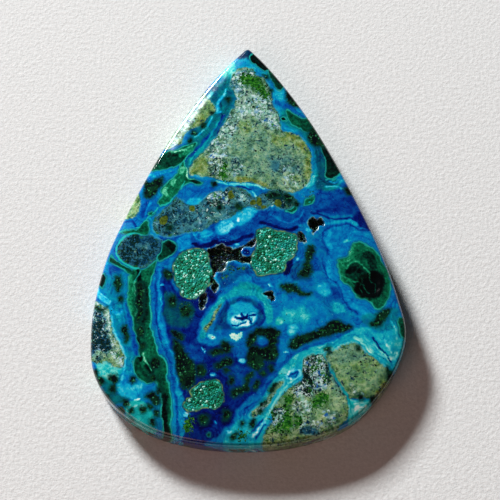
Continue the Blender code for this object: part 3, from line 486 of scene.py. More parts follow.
# Malachite: shade runs from black-green (0) to mint (1)
MALACHITE = [
    (0.34, [-13.5, -15.6, -13.8, -16.6, -13.6, -17.6, -12.9, -18.6, -12, -19, -11.3, -18.7, -11.2, -17.5,
        -12, -16.2, -12.8, -15.6]),
    (0.45, [-8.4, 10.4, -7.9, 8.9, -7.5, 7.9, -6.6, 7.4, -5.8, 7, -6.4, 6.7, -7.4, 7.1, -8.3, 6.7, -9, 7.2,
        -8.7, 8.6]),
    # the long vein down the left side
    (0.45, [-11.2, -3.4, -11.7, -4.6, -12.1, -6, -12.15, -8, -12, -10, -11.85, -11.5, -11.5, -13,
        -11.1, -14.4, -10.9, -15.3, -10.2, -15.8, -9.9, -16.6, -9.85, -17.9, -9.6, -19, -9.4, -20.5,
        -9.25, -22, -9.2, -24, -9.1, -26.4, -10, -26.2, -10.1, -24, -10.3, -22.6, -10.4, -21, -10.7, -19.6,
        -11.2, -18.6, -12, -18, -12.5, -17.3, -12.9, -16.2, -13.1, -15.2, -13.4, -13.8, -13.8, -12.4,
        -14.1, -11.2, -14.6, -9.6, -14.8, -7.8, -14.8, -6.2, -14.6, -5, -14.4, -4.5, -13.6, -4.3, -13, -4.5,
        -12.3, -4, -11.7, -3.6]),
    (0.3, [-17.1, -2.5, -16.7, -3, -16, -3.4, -15.3, -4.1, -14.5, -4.5, -14.2, -4.9, -15, -4.8, -15.8, -4.3,
        -16.6, -3.8, -17.2, -3.4]),
    (0.4, [-15.9, 0.6, -14.8, 0.9, -13.7, 0.9, -13.2, 1.6, -12.7, 2, -12.4, 1.4, -12.3, 0.5, -12.7, 0,
        -13.3, 0.1, -14.2, 0.5, -15.2, 0.3]),
    (0.4, [-12.5, 2.9, -12.2, 3.3, -11.8, 3.2, -11.8, 2.8, -12.2, 2.6]),
    (0.28, [-8.8, -1.7, -9.1, -1.1, -9.9, -0.7, -10.6, -0.9, -10.8, -1.6, -10.9, -2.3, -11.3, -3.1,
        -10.9, -3.5, -10, -3, -9.2, -2.5]),
    # upper left flank
    (0.34, [-13.4, 9.2, -11.6, 9, -10, 9.2, -8.9, 9.6, -8.2, 10.4, -7.4, 11.3, -6.7, 12.6, -7.6, 12.4,
        -8.8, 11.9, -9.6, 11.6, -10.4, 11.7, -11.2, 11, -13.2, 10.8]),
    (0.5, [-8.4, 9.6, -7.9, 8.4, -7.9, 7.4, -8.6, 6.4, -9.3, 5.2, -10.2, 4.3, -11, 3.8, -11.3, 4.4,
        -10.8, 5.4, -11, 6.3, -10.4, 7, -9.6, 7.8, -8.9, 8.6]),
    (0.2, [-7.2, 7.4, -6.6, 7.4, -6.1, 7.1, -6.6, 6.95, -7.1, 7.1]),
    # tip and upper right flank
    (0.08, [0.7, 25.8, 0.25, 25.1, 0.4, 24.4, 1.2, 23.6, 1.9, 23.1, 2.4, 23.3, 3.1, 23.9, 2, 25.4,
        1.2, 26]),
    (0.3, [2.5, 23.3, 3.6, 23.4, 4.6, 21.8, 4.4, 20.8, 4, 20.3, 3.3, 21.3, 2.7, 22.4]),
    (0.38, [4.9, 17.4, 5.6, 16.9, 6.6, 16.3, 7.6, 16.2, 8.6, 16.4, 9.6, 14.8, 8.8, 14, 8, 14.4, 7.2, 14.3,
        6.3, 15, 5.7, 15.2, 5.1, 16.1]),
    (0.16, [10.4, 13.2, 9.3, 12.6, 9.4, 11.2, 9.9, 10.4, 10, 9.2, 9.7, 8.2, 10.3, 7.7, 11.2, 8.2, 12.2, 9.4,
        11.8, 10.8]),
    (0.1, [4, 16.1, 4.5, 16.2, 4.8, 15.9, 4.5, 15.6, 4.1, 15.7]),
    # the right eye
    (0.5, [13.1, -1, 13.8, -0.8, 14.8, -1.2, 15.6, -1.7, 16.2, -2.6, 16.9, -3.6, 17.3, -4.8, 17.5, -6.2,
        17.4, -7.4, 17, -8.4, 16.5, -9.3, 15.9, -9.7, 15.5, -9.4, 15.1, -8.7, 14.2, -8.4, 13.3, -8.1,
        12.8, -7.4, 12.3, -6.6, 11.6, -6.2, 11.4, -5.5, 11.2, -4.5, 10.9, -3.6, 10.9, -3.3, 11.6, -3.1,
        12.3, -2.8, 12.7, -2]),
    # small lenses
    (0.12, [-18.5, -5, -18, -4.9, -17.7, -5.8, -17.9, -6.7, -18.6, -6.2]),
    (0.4, [18.4, -10.6, 19.6, -11, 19.6, -13.2, 18.6, -13, 18.3, -12]),
    (0.3, [4.6, 3.1, 5.3, 2.8, 5.9, 3.5, 5.5, 3.55, 5.2, 3.2]),
    (0.25, [-4.9, -24.9, -4.5, -24.8, -4.5, -25.3, -4.9, -25.3]),
    (0.45, [6.9, 3.9, 7.1, 4.7, 7.8, 5.1, 8.4, 5.3, 8.2, 4.6, 7.6, 4.1]),
]

# Areas of another shade inside malachite: shade, feather, outline
GREEN_AREAS = [
    (0.06, 0.3, [-12.4, -16.6, -11.6, -16.4, -11.2, -17.2, -11.5, -18, -12, -17.9, -12.5, -17.2]),
    (0.4, 1.2, [13.8, -1.8, 15.4, -2.4, 16.6, -4.2, 17, -6.4, 16.6, -8.4, 15.6, -9, 14.2, -8, 13.2, -6.6,
        13.4, -4.4]),
    (-0.12, 0.7, [15.4, -4.7, 16.3, -5, 16.7, -5.8, 16.6, -6.9, 16, -7.8, 15.2, -8.2, 14.3, -8.2,
        13.5, -7.8, 13, -7.1, 13.2, -6.5, 12.9, -6, 13.4, -5.4, 14.4, -4.8]),
    (0.3, 0.3, [12, -4.4, 12.8, -3.7, 13.6, -3.7, 14.4, -4.5, 14.8, -5.4, 13.6, -5.7, 12.4, -5.6,
        11.9, -5]),
    (0.02, 0.3, [12, -4.6, 12.6, -4.2, 13.2, -4.3, 13, -4.9, 12.3, -5]),
    (0.02, 0.2, [13.4, -4.5, 13.9, -4.5, 13.9, -4.9, 13.4, -4.9]),
    (0.2, 0.5, [-11.6, 10.2, -10.4, 11.2, -9, 11, -9.2, 10.2, -10.4, 9.8]),
    (0.18, 0.5, [-13.4, -6, -12.6, -6.2, -12.4, -9, -12.6, -11.6, -13.6, -11.4, -13.8, -8.6]),
    (0.34, 0.4, [-10.9, -17.6, -10.3, -17.4, -9.8, -20.4, -9.7, -23.6, -10.2, -23.4, -10.4, -20.4]),
]

# Lines and lumps inside malachite: shade, half width, route
GREEN_STREAKS = [
    (0.8, 0.06, [-14, -6, -14, -7.2, -13.8, -8.4, -13.7, -9.6, -13.8, -10.6]),
    (0.86, 0.08, [-12.6, -15.2, -12.6, -15.8, -12.2, -16.4, -11.8, -16.9, -11.7, -17.4]),
    (0.8, 0.26, [-10.4, 6.4, -10.5, 5.8, -10.3, 5.4]),
    (0.8, 0.28, [-9.4, 7.5, -9.6, 6.9]),
    (0.75, 0.18, [-8.3, 9.2, -8.5, 8.4]),
    (0.95, 0.06, [-7.4, 10.4, -7.9, 9.2, -7.8, 8.2, -7.3, 7.6, -6.4, 7.5]),
    (0.85, 0.13, [-9.9, 11.4, -9, 11.5, -8.2, 11.7, -7.2, 12.2]),
    (0.6, 0.22, [-8.8, 10.8, -7.9, 11.3, -7.3, 11.9]),
    (0.3, 0.35, [-10.6, 10.3, -9.8, 10.2, -9.2, 10.5]),
    (0.05, 0.4, [-9.9, -1.4, -9.3, -1.7]),
    (0.08, 0.3, [-10.1, -20.6, -10.1, -22, -9.9, -23.4, -9.7, -25.4]),
    (0.12, 0.3, [-12.9, -6.6, -12.9, -8.4, -12.8, -10]),
    (0.02, 0.16, [-13.7, -4.2, -13.5, -5.6, -13.6, -7]),
    (0.02, 0.18, [-13.6, -8.2, -13.5, -9.4]),
    (0.0, 0.26, [-13.5, -13.2, -13.3, -14.2]),
    (0.02, 0.2, [-13.2, -15.4, -12.9, -15.9]),
    (0.58, 0.22, [-14.6, -5.2, -14.5, -7.2, -14.5, -9.4, -14.3, -11.6]),
    (0.2, 0.5, [14.6, -2.4, 15.2, -3, 15.4, -4]),
    (0.62, 0.16, [13.2, -1.3, 12.9, -2.2, 12.4, -3.2, 11.4, -3.6]),
    (0.64, 0.1, [12, -4.4, 12.6, -3.8, 13.5, -3.6, 14.3, -4.1, 14.9, -5.1, 14.9, -5.6]),
    (0.7, 0.2, [12.5, -2.6, 12.8, -2]),
    (0.64, 0.08, [11.5, -5.3, 12.2, -5.6, 12.9, -5.95, 13.6, -5.9]),
    # dark streaks along the upper right edge: partly the malachite's own dark, partly painted shade where
    # the shoulder turns away from the lamp
    (0.12, 0.2, [3.4, 22.6, 3.9, 21.6]),
    (0.12, 0.4, [10.2, 12, 10.4, 10.6, 10.6, 9.4]),
    (0.06, 0.4, [-16.8, 0.4, -17.1, -0.8, -17.2, -2.2]),
    (0.4, 0.05, [13.3, -5.5, 13.8, -6.2, 14.2, -6.4, 14.5, -7.2, 14.9, -7.5]),
    (0.4, 0.05, [13.9, -5.1, 14, -6, 13.7, -6.8, 14.2, -7.7]),
    (0.36, 0.05, [14.8, -5.6, 15.2, -6.2, 15.6, -6.5, 15.4, -7.5]),
]

# Bright teal lines: half width, route
TEAL_LINES = [
    (0.06, [-11.9, -5, -12.15, -6, -12.2, -8, -12.05, -10, -11.9, -11.5, -11.5, -13, -11.1, -14.4,
        -10.9, -15.3, -10.2, -15.8, -9.9, -16.6, -9.85, -17.9, -9.6, -19, -9.4, -20.5, -9.25, -22,
        -9.2, -24]),
    (0.13, [-14.2, 0.4, -15.2, 0.2, -16, -0.7, -16.5, -1.9, -16.3, -2.6, -15.6, -3.2, -14.9, -3.9,
        -14.1, -4.2, -13.5, -4.2]),
    (0.06, [-8, 7.3, -8.6, 6.2, -9.4, 5, -10.4, 4.2, -11.4, 3.6, -12.3, 2.6, -13, 1.9]),
    (0.06, [9.8, 7.5, 10.6, 7.6, 11.4, 8.2, 12, 9.2]),
    (0.05, [7.4, 4.3, 8, 4.9, 8.3, 5.6]),
    (0.05, [4.6, 3, 5.3, 2.7, 5.95, 3.4]),
    (0.05, [-13.2, -4.6, -13.8, -5.4, -14.1, -6.2]),
    (0.07, [-16.2, 0.6, -15, 1, -14.2, 1.1, -13.4, 1.1]),
    (0.05, [5, 17.5, 5.8, 17, 6.8, 16.4]),
    (0.05, [0.2, 25, 0.5, 25.6, 0.9, 26]),
]

# Dark granular patches, level with the polish: outline
DARK_PATCHES = [
    [-3.9, -17.1, -3.6, -16.6, -2.8, -16.1, -2.1, -16.2, -2.2, -16.7, -3, -16.9, -3.6, -17.3],
    [-6.1, -16.8, -5.5, -16.7, -5.2, -17.3, -5.5, -18.1, -6.1, -18.1, -6.2, -17.4],
    [-2.2, -18.3, -1.9, -18.2, -1.8, -18.9, -2.1, -19.1],
    [-0.3, -18.6, 0, -18, 0.4, -17.8, 0.4, -18.2, 0.1, -18.6, 0, -19, 0.1, -19.6, -0.3, -20, -1, -20.3,
        -1.6, -20.6, -2.1, -20.4, -2, -19.9, -1.2, -19.7, -0.5, -19.4],
    [1.3, -17.7, 1.7, -17.5, 1.9, -17.9, 1.5, -18.1],
    [2.4, -17, 2.8, -16.8, 2.9, -17.3, 2.5, -17.5],
    [-2.9, -17.4, -2.5, -17.3, -2.2, -17.6, -2.6, -17.8],
    [0.2, -23.6, 0.6, -23.4, 0.8, -23.9, 0.5, -24.3, 0.2, -24],
    [5, -14.5, 5.2, -13.8, 6.2, -13.1, 7.8, -12.6, 9, -12.2, 9.8, -11.4, 10.6, -11.2, 11.4, -11.6,
        12.6, -12, 11.6, -12.5, 10.4, -12.8, 9.2, -13.1, 7.8, -13.7, 6.4, -14.2, 5.6, -14.8],
    [14.8, -11.6, 15.5, -11, 15.8, -10.2, 16.4, -9.8, 17.2, -9.5, 16.9, -10.3, 16.3, -11, 15.8, -11.8],
    [4, -6.9, 4.9, -6.6, 5.7, -6.9, 6.6, -7.6, 7.6, -7.8, 6.9, -8.1, 5.6, -7.6, 4.6, -7.6],
    [-8.9, -13.6, -8.3, -14.2, -7.3, -15.8, -6.5, -17.2, -6.5, -18.6, -7.1, -19.4, -7.9, -19.2, -8.5, -17.6,
        -8.8, -15.8],
    [-13.2, 8.1, -12.5, 7.3, -11.6, 7.7, -10.8, 7.8, -10.9, 7, -11.6, 6.2, -12.3, 5.2, -13, 5.4, -13, 6.6],
    # the next two patches lie across the upper right edge: partly dark granular mineral, partly painted
    # shade where the shoulder turns away from the lamp
    [5.2, 20.8, 6.1, 20, 7.2, 18.6, 6, 17.9, 5.2, 18.6, 4.9, 19.6],
    [7.7, 13.5, 8.4, 12.3, 9.4, 12.3, 10.2, 13, 9, 14.5, 8, 14.9],
    [12.1, 6.4, 12.6, 6.6, 13.6, 6.6, 13.2, 5.9, 12.6, 5.7, 12.2, 6],
    [-9.6, -8.3, -9.1, -8.2, -8.8, -8.8, -9.1, -9.5, -9.6, -9.2],
    [-8.2, -9.8, -7.4, -9.5, -7, -10.2, -7.4, -10.7, -8, -10.5],
    [-16.3, -5.5, -15.9, -5.5, -15.8, -6.6, -16.1, -7.5, -16.4, -6.8],
    [-15.9, -8.2, -15.5, -8.1, -15.4, -8.6, -15.7, -8.8],
    [-15.3, -11.8, -14.9, -11.9, -14.6, -13.2, -14.8, -13.8, -15.2, -12.8],
    [-14.3, -18.6, -13.9, -18.2, -13.5, -18.3, -13.7, -18.7, -14.1, -18.8],
    [-15, -20.8, -14.5, -20.9, -14.6, -21.6, -15.1, -21.4],
    [-15.7, -21.9, -15.2, -21.8, -15.1, -22.3, -15.6, -22.5],
    [-14.3, -23.4, -13.9, -23.4, -13.9, -23.9, -14.3, -23.9],
    [-12.8, -21.9, -12.4, -21.8, -12.3, -22.4, -12.7, -22.4],
    [-12, -21.5, -11.6, -21.5, -11.5, -22, -11.9, -22.1],
    [-11.6, -23.3, -11.3, -23.2, -11.2, -23.8, -11.5, -23.9],
    [-18.4, -18.2, -17.8, -18, -17.5, -18.8, -18.2, -19.2],
    [-17.6, -20.4, -16.8, -20.3, -16.7, -20.9, -17.3, -21.2],
    [-18.9, -17.3, -18.4, -17.2, -18.3, -17.9, -18.8, -18],
    [-14.2, -22, -13.8, -22, -13.8, -22.4, -14.2, -22.4],
    [-12.1, -20.6, -11.6, -20.1, -10.9, -20.3, -10.6, -21.2, -11, -21.6, -11.5, -20.9],
    [-11.2, -22.2, -10.8, -22.3, -10.6, -22.8, -11, -22.7],
    [-11.8, -18.2, -11.2, -18.1, -11.1, -18.6, -11.7, -18.6],
    [-16.8, -18, -16, -17.9, -15.7, -18.5, -16.2, -18.8],
    [-16.6, -19.2, -16.1, -19, -15.9, -19.8, -16.4, -19.9],
    [-10.8, -19.6, -10.5, -19.6, -10.4, -20.1, -10.8, -20.1],
    [3.3, -19, 3, -19.1, 2.5, -19.9, 2.7, -20.1, 3.1, -19.6],
    [2.1, -21, 1.9, -21, 1.5, -21.5, 1.6, -21.7, 2, -21.3],
    [1.7, -22, 1.3, -22.2, 1.4, -22.5, 1.7, -22.3],
    [-0.6, -23.5, -0.9, -23.7, -0.8, -24.1, -0.5, -23.8],
    [-1.3, -24.9, -1.8, -25.1, -1.9, -25.6, -1.4, -25.4],
    [4.7, 5.3, 5.2, 5.2, 5.4, 4.6, 5, 4.2, 4.6, 4.6],
    [5.7, 4.3, 6.2, 4.2, 6.3, 3.9, 5.9, 3.7, 5.6, 4],
    [2.6, 5.2, 3.1, 5.5, 3.9, 5.4, 4, 5.1, 3.2, 4.9, 2.7, 4.9],
    [-1.6, 3.9, -1.2, 3.9, -0.8, 3.3, -1.3, 3.1, -1.6, 3.5],
    [-3.8, 3.8, -3.4, 3.8, -3.4, 3.4, -3.8, 3.3],
    [-4.5, 7.1, -4.1, 7.1, -4, 6.7, -4.4, 6.6],
    [-10, 1.1, -9.6, 1.1, -9.6, 0.7, -10, 0.7],
    [-3, 19, -2.6, 18.9, -2.4, 18.5, -2.7, 18.3, -2.9, 18.6],
    [2, 22.4, 2.4, 22.4, 2.6, 22, 2.2, 21.9],
    [2.7, 20.5, 2.9, 20.4, 2.9, 20.1, 2.7, 20.2],
    [-7.6, 13.2, -7.3, 13.2, -7.3, 12.8, -7.6, 12.8],
    [-7.1, 14.4, -6.8, 14.3, -6.8, 13.9, -7.1, 14],
    [-6, 15.3, -5.7, 15.2, -5.7, 14.8, -6, 14.9],
    [-4.8, 17, -4.4, 16.9, -4.4, 16.6, -4.8, 16.6],
    [-2.8, -14, -2.4, -14.2, -2.1, -14.8, -2.6, -15.1, -3.2, -14.8, -3.2, -14.1],
    [0, -12.9, 0.4, -12.8, 0.5, -13.6, 0.3, -14.6, 0, -14.4],
    [13, -14.4, 13.3, -14.4, 13.3, -14.8, 13, -14.7],
    [9.4, -14.6, 9.7, -14.6, 9.7, -15.1, 9.4, -15],
    [13.1, -20.4, 13.6, -20.4, 13.5, -20.9, 13.1, -20.8],
    [14.6, -20.6, 15.4, -20.5, 15.2, -20.9, 14.7, -21],
    [16.8, -16.8, 17.2, -17.2, 17.2, -18.2, 16.8, -18.2, 16.7, -17.4],
    [-18.9, -9, -18.4, -9.3, -18, -9.5, -17.4, -9.2, -17.9, -9.7, -18.5, -9.6],
    [7.8, -1.6, 8.2, -2.1, 7.6, -3.2, 7.5, -4, 7.7, -4.8, 7.2, -5.6, 6.4, -5.7, 6.2, -5.3, 6.8, -4.8,
        7, -3.8, 7.1, -2.6, 7.4, -1.8],
]

# Open vugs: depth, outline
VUGS = [
    (0.6, [-5.1, -2.3, -4.2, -1.75, -3.3, -1.5, -2.6, -1.7, -1.8, -2, -0.95, -1.7, -0.3, -1.5, 0.6, -0.8,
        0.9, -0.6, 0.6, -1.6, 0.3, -1.75, -0.4, -1.75, -0.95, -2.1, -1.05, -2.6, -0.8, -3.05, -0.2, -3.2,
        0.3, -3, 0.35, -3.5, 0.1, -4, -0.95, -3.8, -1.9, -3.5, -2.7, -3.9, -3, -4.7, -4, -5.1, -4.15, -6,
        -3.8, -6.9, -4.05, -7.6, -4.6, -6.9, -4.7, -6, -4.4, -4.8, -4.85, -3.4]),
    (0.5, [-5.2, -7.8, -5.2, -8.6, -5.4, -9.7, -5.8, -10, -6.1, -9, -5.8, -8.1]),
    (0.8, [7.5, 1.9, 7.7, 2.2, 8.1, 2.4, 8.5, 2.05, 9.2, 2.1, 9.4, 1.7, 9.3, 1.2, 8.8, 1.15, 8.6, 0.7,
        8.3, 0.3, 8, 0.2, 7.8, 0.8, 7.5, 1.3]),
    (0.6, [6.1, 0.2, 6.8, 0.1, 7.1, -0.4, 7.3, -0.8, 6.9, -1, 6.4, -0.8, 6.1, -0.3]),
    (0.7, [1.8, -8, 2.3, -7.6, 2.8, -7.6, 3.1, -8, 3.2, -8.8, 2.8, -8.9, 2.5, -8.4]),
]

# Shallow granular dimples: outline
DIMPLES = [
    [0.07, -13.9, -0.15, -13.25, 0.71, -12.68, 1.36, -12.29, 2.22, -12.15, 3.19, -12.33, 3.73, -12.79,
        3.3, -13.7, 3.19, -14.4, 3.52, -15.3, 3.08, -16, 2.44, -16.2, 1.79, -16.2, 1.68, -16.9, 0.93, -17.4,
        0.28, -17.1, -0.15, -16.2, -0.04, -15.3, 0.28, -14.6, 0.75, -14.4, 1.2, -14.6, 1.9, -14.65,
        2.35, -14.2, 2.45, -13.6, 2.1, -13.1, 1.5, -12.95, 0.9, -13.2, 0.7, -13.8],
    [-13.6, -6.4, -13.1, -6.3, -12.9, -7.6, -12.9, -9, -13, -10.3, -13.3, -11.2, -13.6, -10.8, -13.5, -9.4,
        -13.7, -8],
    [-13.3, -12, -12.9, -11.8, -12.7, -12.8, -12.9, -13.3, -13.3, -13.1],
    [-13.1, -14.2, -12.8, -14, -12.6, -14.5, -12.9, -14.8],
    [-11.6, -16.1, -11.1, -15.8, -10.7, -16.4, -10.9, -17.2, -11.4, -17.2],
    [-8.8, -14.7, -8.2, -14.8, -7.7, -15.9, -7.6, -17.3, -8, -18, -8.4, -17.3, -8.6, -16.1],
    [-4.6, -15.2, -4.1, -14.9, -3.4, -14.9, -2.7, -15.2, -3.4, -15.4, -4.2, -15.6],
    [-2, -20.2, -1.4, -19.9, -0.7, -19.9, -0.2, -19.7, -0.5, -20.1, -1.2, -20.4, -1.8, -20.5],
    [-10.5, -5.2, -10.2, -4.8, -9.8, -4.8, -9.4, -5.3, -9.6, -5.8, -10.2, -5.8],
    [-5.8, -23.3, -5.6, -22.9, -5.1, -22.9, -4.9, -23.3, -5.1, -23.7, -5.6, -23.7],
    [-3, -22.8, -2.8, -22.3, -2.4, -22.4, -2.3, -22.9, -2.5, -23.3, -2.9, -23.3],
    [0.7, -19, 1, -18.7, 1.1, -19.2, 0.8, -19.8, 0.6, -19.5],
    [-9.3, -12.6, -8.7, -12.6, -8, -13.3, -8.2, -13.6, -8.9, -13.1],
    [-3, -14.1, -2.4, -14.3, -2.2, -14.9, -2.6, -15.4, -3.1, -15],
]

# Black heart of the right eye: depth and width of its gentle dish, outline
EYE_DISH = (0.3, 0.9, [15.4, -4.8, 16.2, -5, 16.6, -5.8, 16.5, -6.8, 16, -7.7, 15.2, -8.1, 14.3, -8.1,
        13.6, -7.7, 13.1, -7.1, 13.3, -6.5, 13, -6, 13.4, -5.4, 13.9, -5, 14.4, -4.9])

# Nests of tiny crystals in pockets: outline
NESTS = [
    [-8.6, -3, -8.1, -2.4, -7, -2.05, -5.8, -2.1, -5.1, -2.6, -5, -3.5, -4.6, -4.4, -4.35, -5.4, -4.7, -6.4,
        -5.2, -7.2, -5.8, -8, -6.8, -8.45, -7.8, -8.3, -8.3, -7.8, -8.4, -7.1, -8.9, -6.3, -9.2, -5.2,
        -9.1, -3.9],
    [1.2, 0.4, 2, 0.8, 2.6, 0.7, 3.4, 0.35, 4.6, 0.2, 5.7, 0, 6.1, -0.7, 6, -1.8, 5.8, -2.8, 5, -3.4,
        4.6, -3.9, 4.4, -4.7, 3.8, -5.1, 2.9, -5.3, 2, -5.6, 1.2, -5.6, 0.7, -4.9, 0.3, -4.1, 0.3, -3.1,
        0.8, -2.2, 1, -1.2, 1, -0.3],
    [-6.9, -19.9, -6.2, -19.2, -5, -18.7, -4, -18.6, -3.3, -19.1, -3, -19.9, -3, -20.9, -3.4, -21.6,
        -4, -22, -5.2, -21.9, -6, -22.1, -7.2, -22.3, -7.7, -21.6, -7.4, -20.9, -6.8, -20.6],
]

# Rusty grains: centre, radii
RUST_GRAINS = [
    ((-10.6, 2.0), (0.55, 0.6)), ((-7.1, 3.4), (0.42, 0.42)), ((-2.2, 5.2), (0.4, 0.6)),
    ((0.5, 4.2), (0.42, 0.36)), ((1.4, 4.3), (0.42, 0.55)), ((1.9, 3.7), (0.3, 0.25)),
    ((3.6, 4.1), (0.45, 0.42)), ((-1.4, 3.6), (0.3, 0.25)), ((-9.8, 0.8), (0.2, 0.2)),
    ((16.95, -14.5), (0.22, 0.26)), ((13.9, -13.9), (0.3, 0.12)), ((13.4, -13.3), (0.2, 0.12)),
    ((-9.7, -5.6), (0.24, 0.2)), ((-3.9, 21.3), (0.3, 0.25)),
]

# Places where the polish is hazy: haze, feather, outline
POLISH_HAZE = [
    (-0.5, 1.2, [-11.2, 12.2, -9.6, 11.4, -11.6, 7, -13.6, 2, -16.2, 2.6, -14, 7.4]),
    (0.5, 1.2, [-10.8, 12.4, -6.6, 19.2, -5, 18.8, -6.8, 15.4, -9, 11.6]),
]

# ---------------------------------------------------------------- lines in plan
def smooth_line(points, steps, closed=True):
    """A centripetal spline through points, given as x and y by turns, with steps between two of them."""
    knots = np.array(points, float).reshape(-1, 2)
    if closed:
        before, after, later = np.roll(knots, 1, 0), np.roll(knots, -1, 0), np.roll(knots, -2, 0)
        start = knots
    else:
        ends = np.vstack([2 * knots[0] - knots[1], knots, 2 * knots[-1] - knots[-2]])
        before, start, after, later = ends[:-3], ends[1:-2], ends[2:-1], ends[3:]
    lead = np.sqrt(np.linalg.norm(start - before, axis=1))[:, None]
    span = np.sqrt(np.linalg.norm(after - start, axis=1))[:, None]
    trail = np.sqrt(np.linalg.norm(later - after, axis=1))[:, None]
    chord = (after - start) / span
    leaving = span * ((start - before) / lead - (after - before) / (lead + span) + chord)
    arriving = span * (chord - (later - start) / (span + trail) + (later - after) / trail)
    s = (np.arange(steps) / steps)[None, :, None]
    line = ((2 * s**3 - 3 * s**2 + 1) * start[:, None] + (s**3 - 2 * s**2 + s) * leaving[:, None]
            + (3 * s**2 - 2 * s**3) * after[:, None] + (s**3 - s**2) * arriving[:, None])
    line = line.reshape(-1, 2)
    return line if closed else np.vstack([line, knots[-1]])


def line_distance(points, starts, ends):
    """Distance from points to the nearest of some straight pieces."""
    nearest = np.full(len(points), np.inf)
    for start, end in zip(starts, ends):
        side = end - start
        offset = points - start
        along = np.clip(offset @ side / (side @ side), 0.0, 1.0)
        nearest = np.minimum(nearest, np.hypot(*(offset - along[:, None] * side).T))
    return nearest


def enclosed(points, starts, ends):
    """Which points lie inside the area that directed edges bound."""
    inside = np.zeros(len(points), bool)
    for start, end in zip(starts, ends):
        if start[1] == end[1]:
            continue
        share = (points[:, 1] - start[1]) / (end[1] - start[1])
        spans = (start[1] > points[:, 1]) != (end[1] > points[:, 1])
        inside ^= spans & (points[:, 0] < start[0] + share * (end[0] - start[0]))
    return inside


def edge_distance(points, loop):
    """Distance to a closed loop, positive inside it."""
    ends = np.roll(loop, -1, 0)
    nearest = line_distance(points, loop, ends)
    return np.where(enclosed(points, loop, ends), nearest, -nearest)


def soft_inset(points, loop):
    """Smooth stand-in for the inner distance to a loop: the inverse root of its summed 1 / r**3."""
    pull = np.zeros(len(points))
    for start, end in zip(loop, np.roll(loop, -1, 0)):
        along = (end - start) / np.hypot(*(end - start))
        offset = start - points
        clear = np.maximum(np.abs(offset[:, 0] * along[1] - offset[:, 1] * along[0]), LEAST_CLEARANCE)
        near, far = offset @ along, (end - points) @ along
        pull += (far / np.hypot(clear, far) - near / np.hypot(clear, near)) / clear**2
    return np.sqrt(2.0 / np.maximum(pull, LEAST_PULL))


OUTLINE = smooth_line(OUTLINE_POINTS, OUTLINE_STEPS)
OUTLINE -= (OUTLINE.max(0) + OUTLINE.min(0)) / 2
OUTLINE *= HIGH[:2] / OUTLINE.max(0)
COARSE_OUTLINE = OUTLINE[::COARSE_STEP]
DOME_REACH = soft_inset(np.array([DOME_TOP]), COARSE_OUTLINE)[0]


def shoulder_height(inset):
    """Rise of the shoulder's profile above the wall, by the distance in from the edge."""
    run_out = np.clip(inset - BEVEL_WIDTH, 0.0, BEVEL_END - BEVEL_WIDTH)
    bevel = np.minimum(inset, BEVEL_END) - run_out**2 / (2.0 * (BEVEL_END - BEVEL_WIDTH))
    bevel_rise = BEVEL_SLOPE * (BEVEL_WIDTH + BEVEL_END) / 2.0
    left = 1.0 - np.minimum(inset / EDGE_WIDTH, 1.0)
    return (SHOULDER_RISE - bevel_rise) * np.sqrt(1.0 - left**2) + BEVEL_SLOPE * bevel


def polished_height(points):
    """Height of the polished surface over points in plan."""
    inset = np.maximum(edge_distance(points, COARSE_OUTLINE), 0.0)
    dome = DOME_RISE * soft_inset(points, COARSE_OUTLINE) / DOME_REACH
    # the bevel was cut by hand, so it waves a little
    on_bevel = rise(inset, *WAVE_BEGINS) * (1.0 - rise(inset, *WAVE_ENDS))
    wave = BEVEL_WAVE * (1.0 + lumpy_noise(points, WAVE_PITCH, WAVE_SEED)) * on_bevel
    height = WALL_HEIGHT + shoulder_height(inset) + np.where(inset > 0, dome, 0.0) - wave
    return np.minimum(height, TOTAL_HEIGHT)


# ---------------------------------------------------------------- the pattern laid over points in plan
def rise(values, low, high):
    """Smooth step from 0 at low to 1 at high."""
    share = np.clip((values - low) / (high - low), 0.0, 1.0)
    return share * share * (3.0 - 2.0 * share)


def lumpy_noise(points, pitch, seed):
    """Smooth noise between -1 and 1 whose lumps are one pitch wide."""
    draw = np.random.default_rng(seed).uniform(-1.0, 1.0, (NOISE_CELLS, NOISE_CELLS))
    cell = np.floor(points / pitch).astype(int)
    share = points / pitch - cell
    share = share * share * (3.0 - 2.0 * share)
    (column, row), (right, above) = (cell % NOISE_CELLS).T, ((cell + 1) % NOISE_CELLS).T
    lower = draw[column, row] * (1.0 - share[:, 0]) + draw[right, row] * share[:, 0]
    upper = draw[column, above] * (1.0 - share[:, 0]) + draw[right, above] * share[:, 0]
    return lower * (1.0 - share[:, 1]) + upper * share[:, 1]


def wandered(points, pitch, reach, seed):
    """Points pushed about by noise, which makes drawn edges look grown."""
    push = np.column_stack([lumpy_noise(points, pitch, seed), lumpy_noise(points, pitch, seed + 1)])
    return points + reach * push


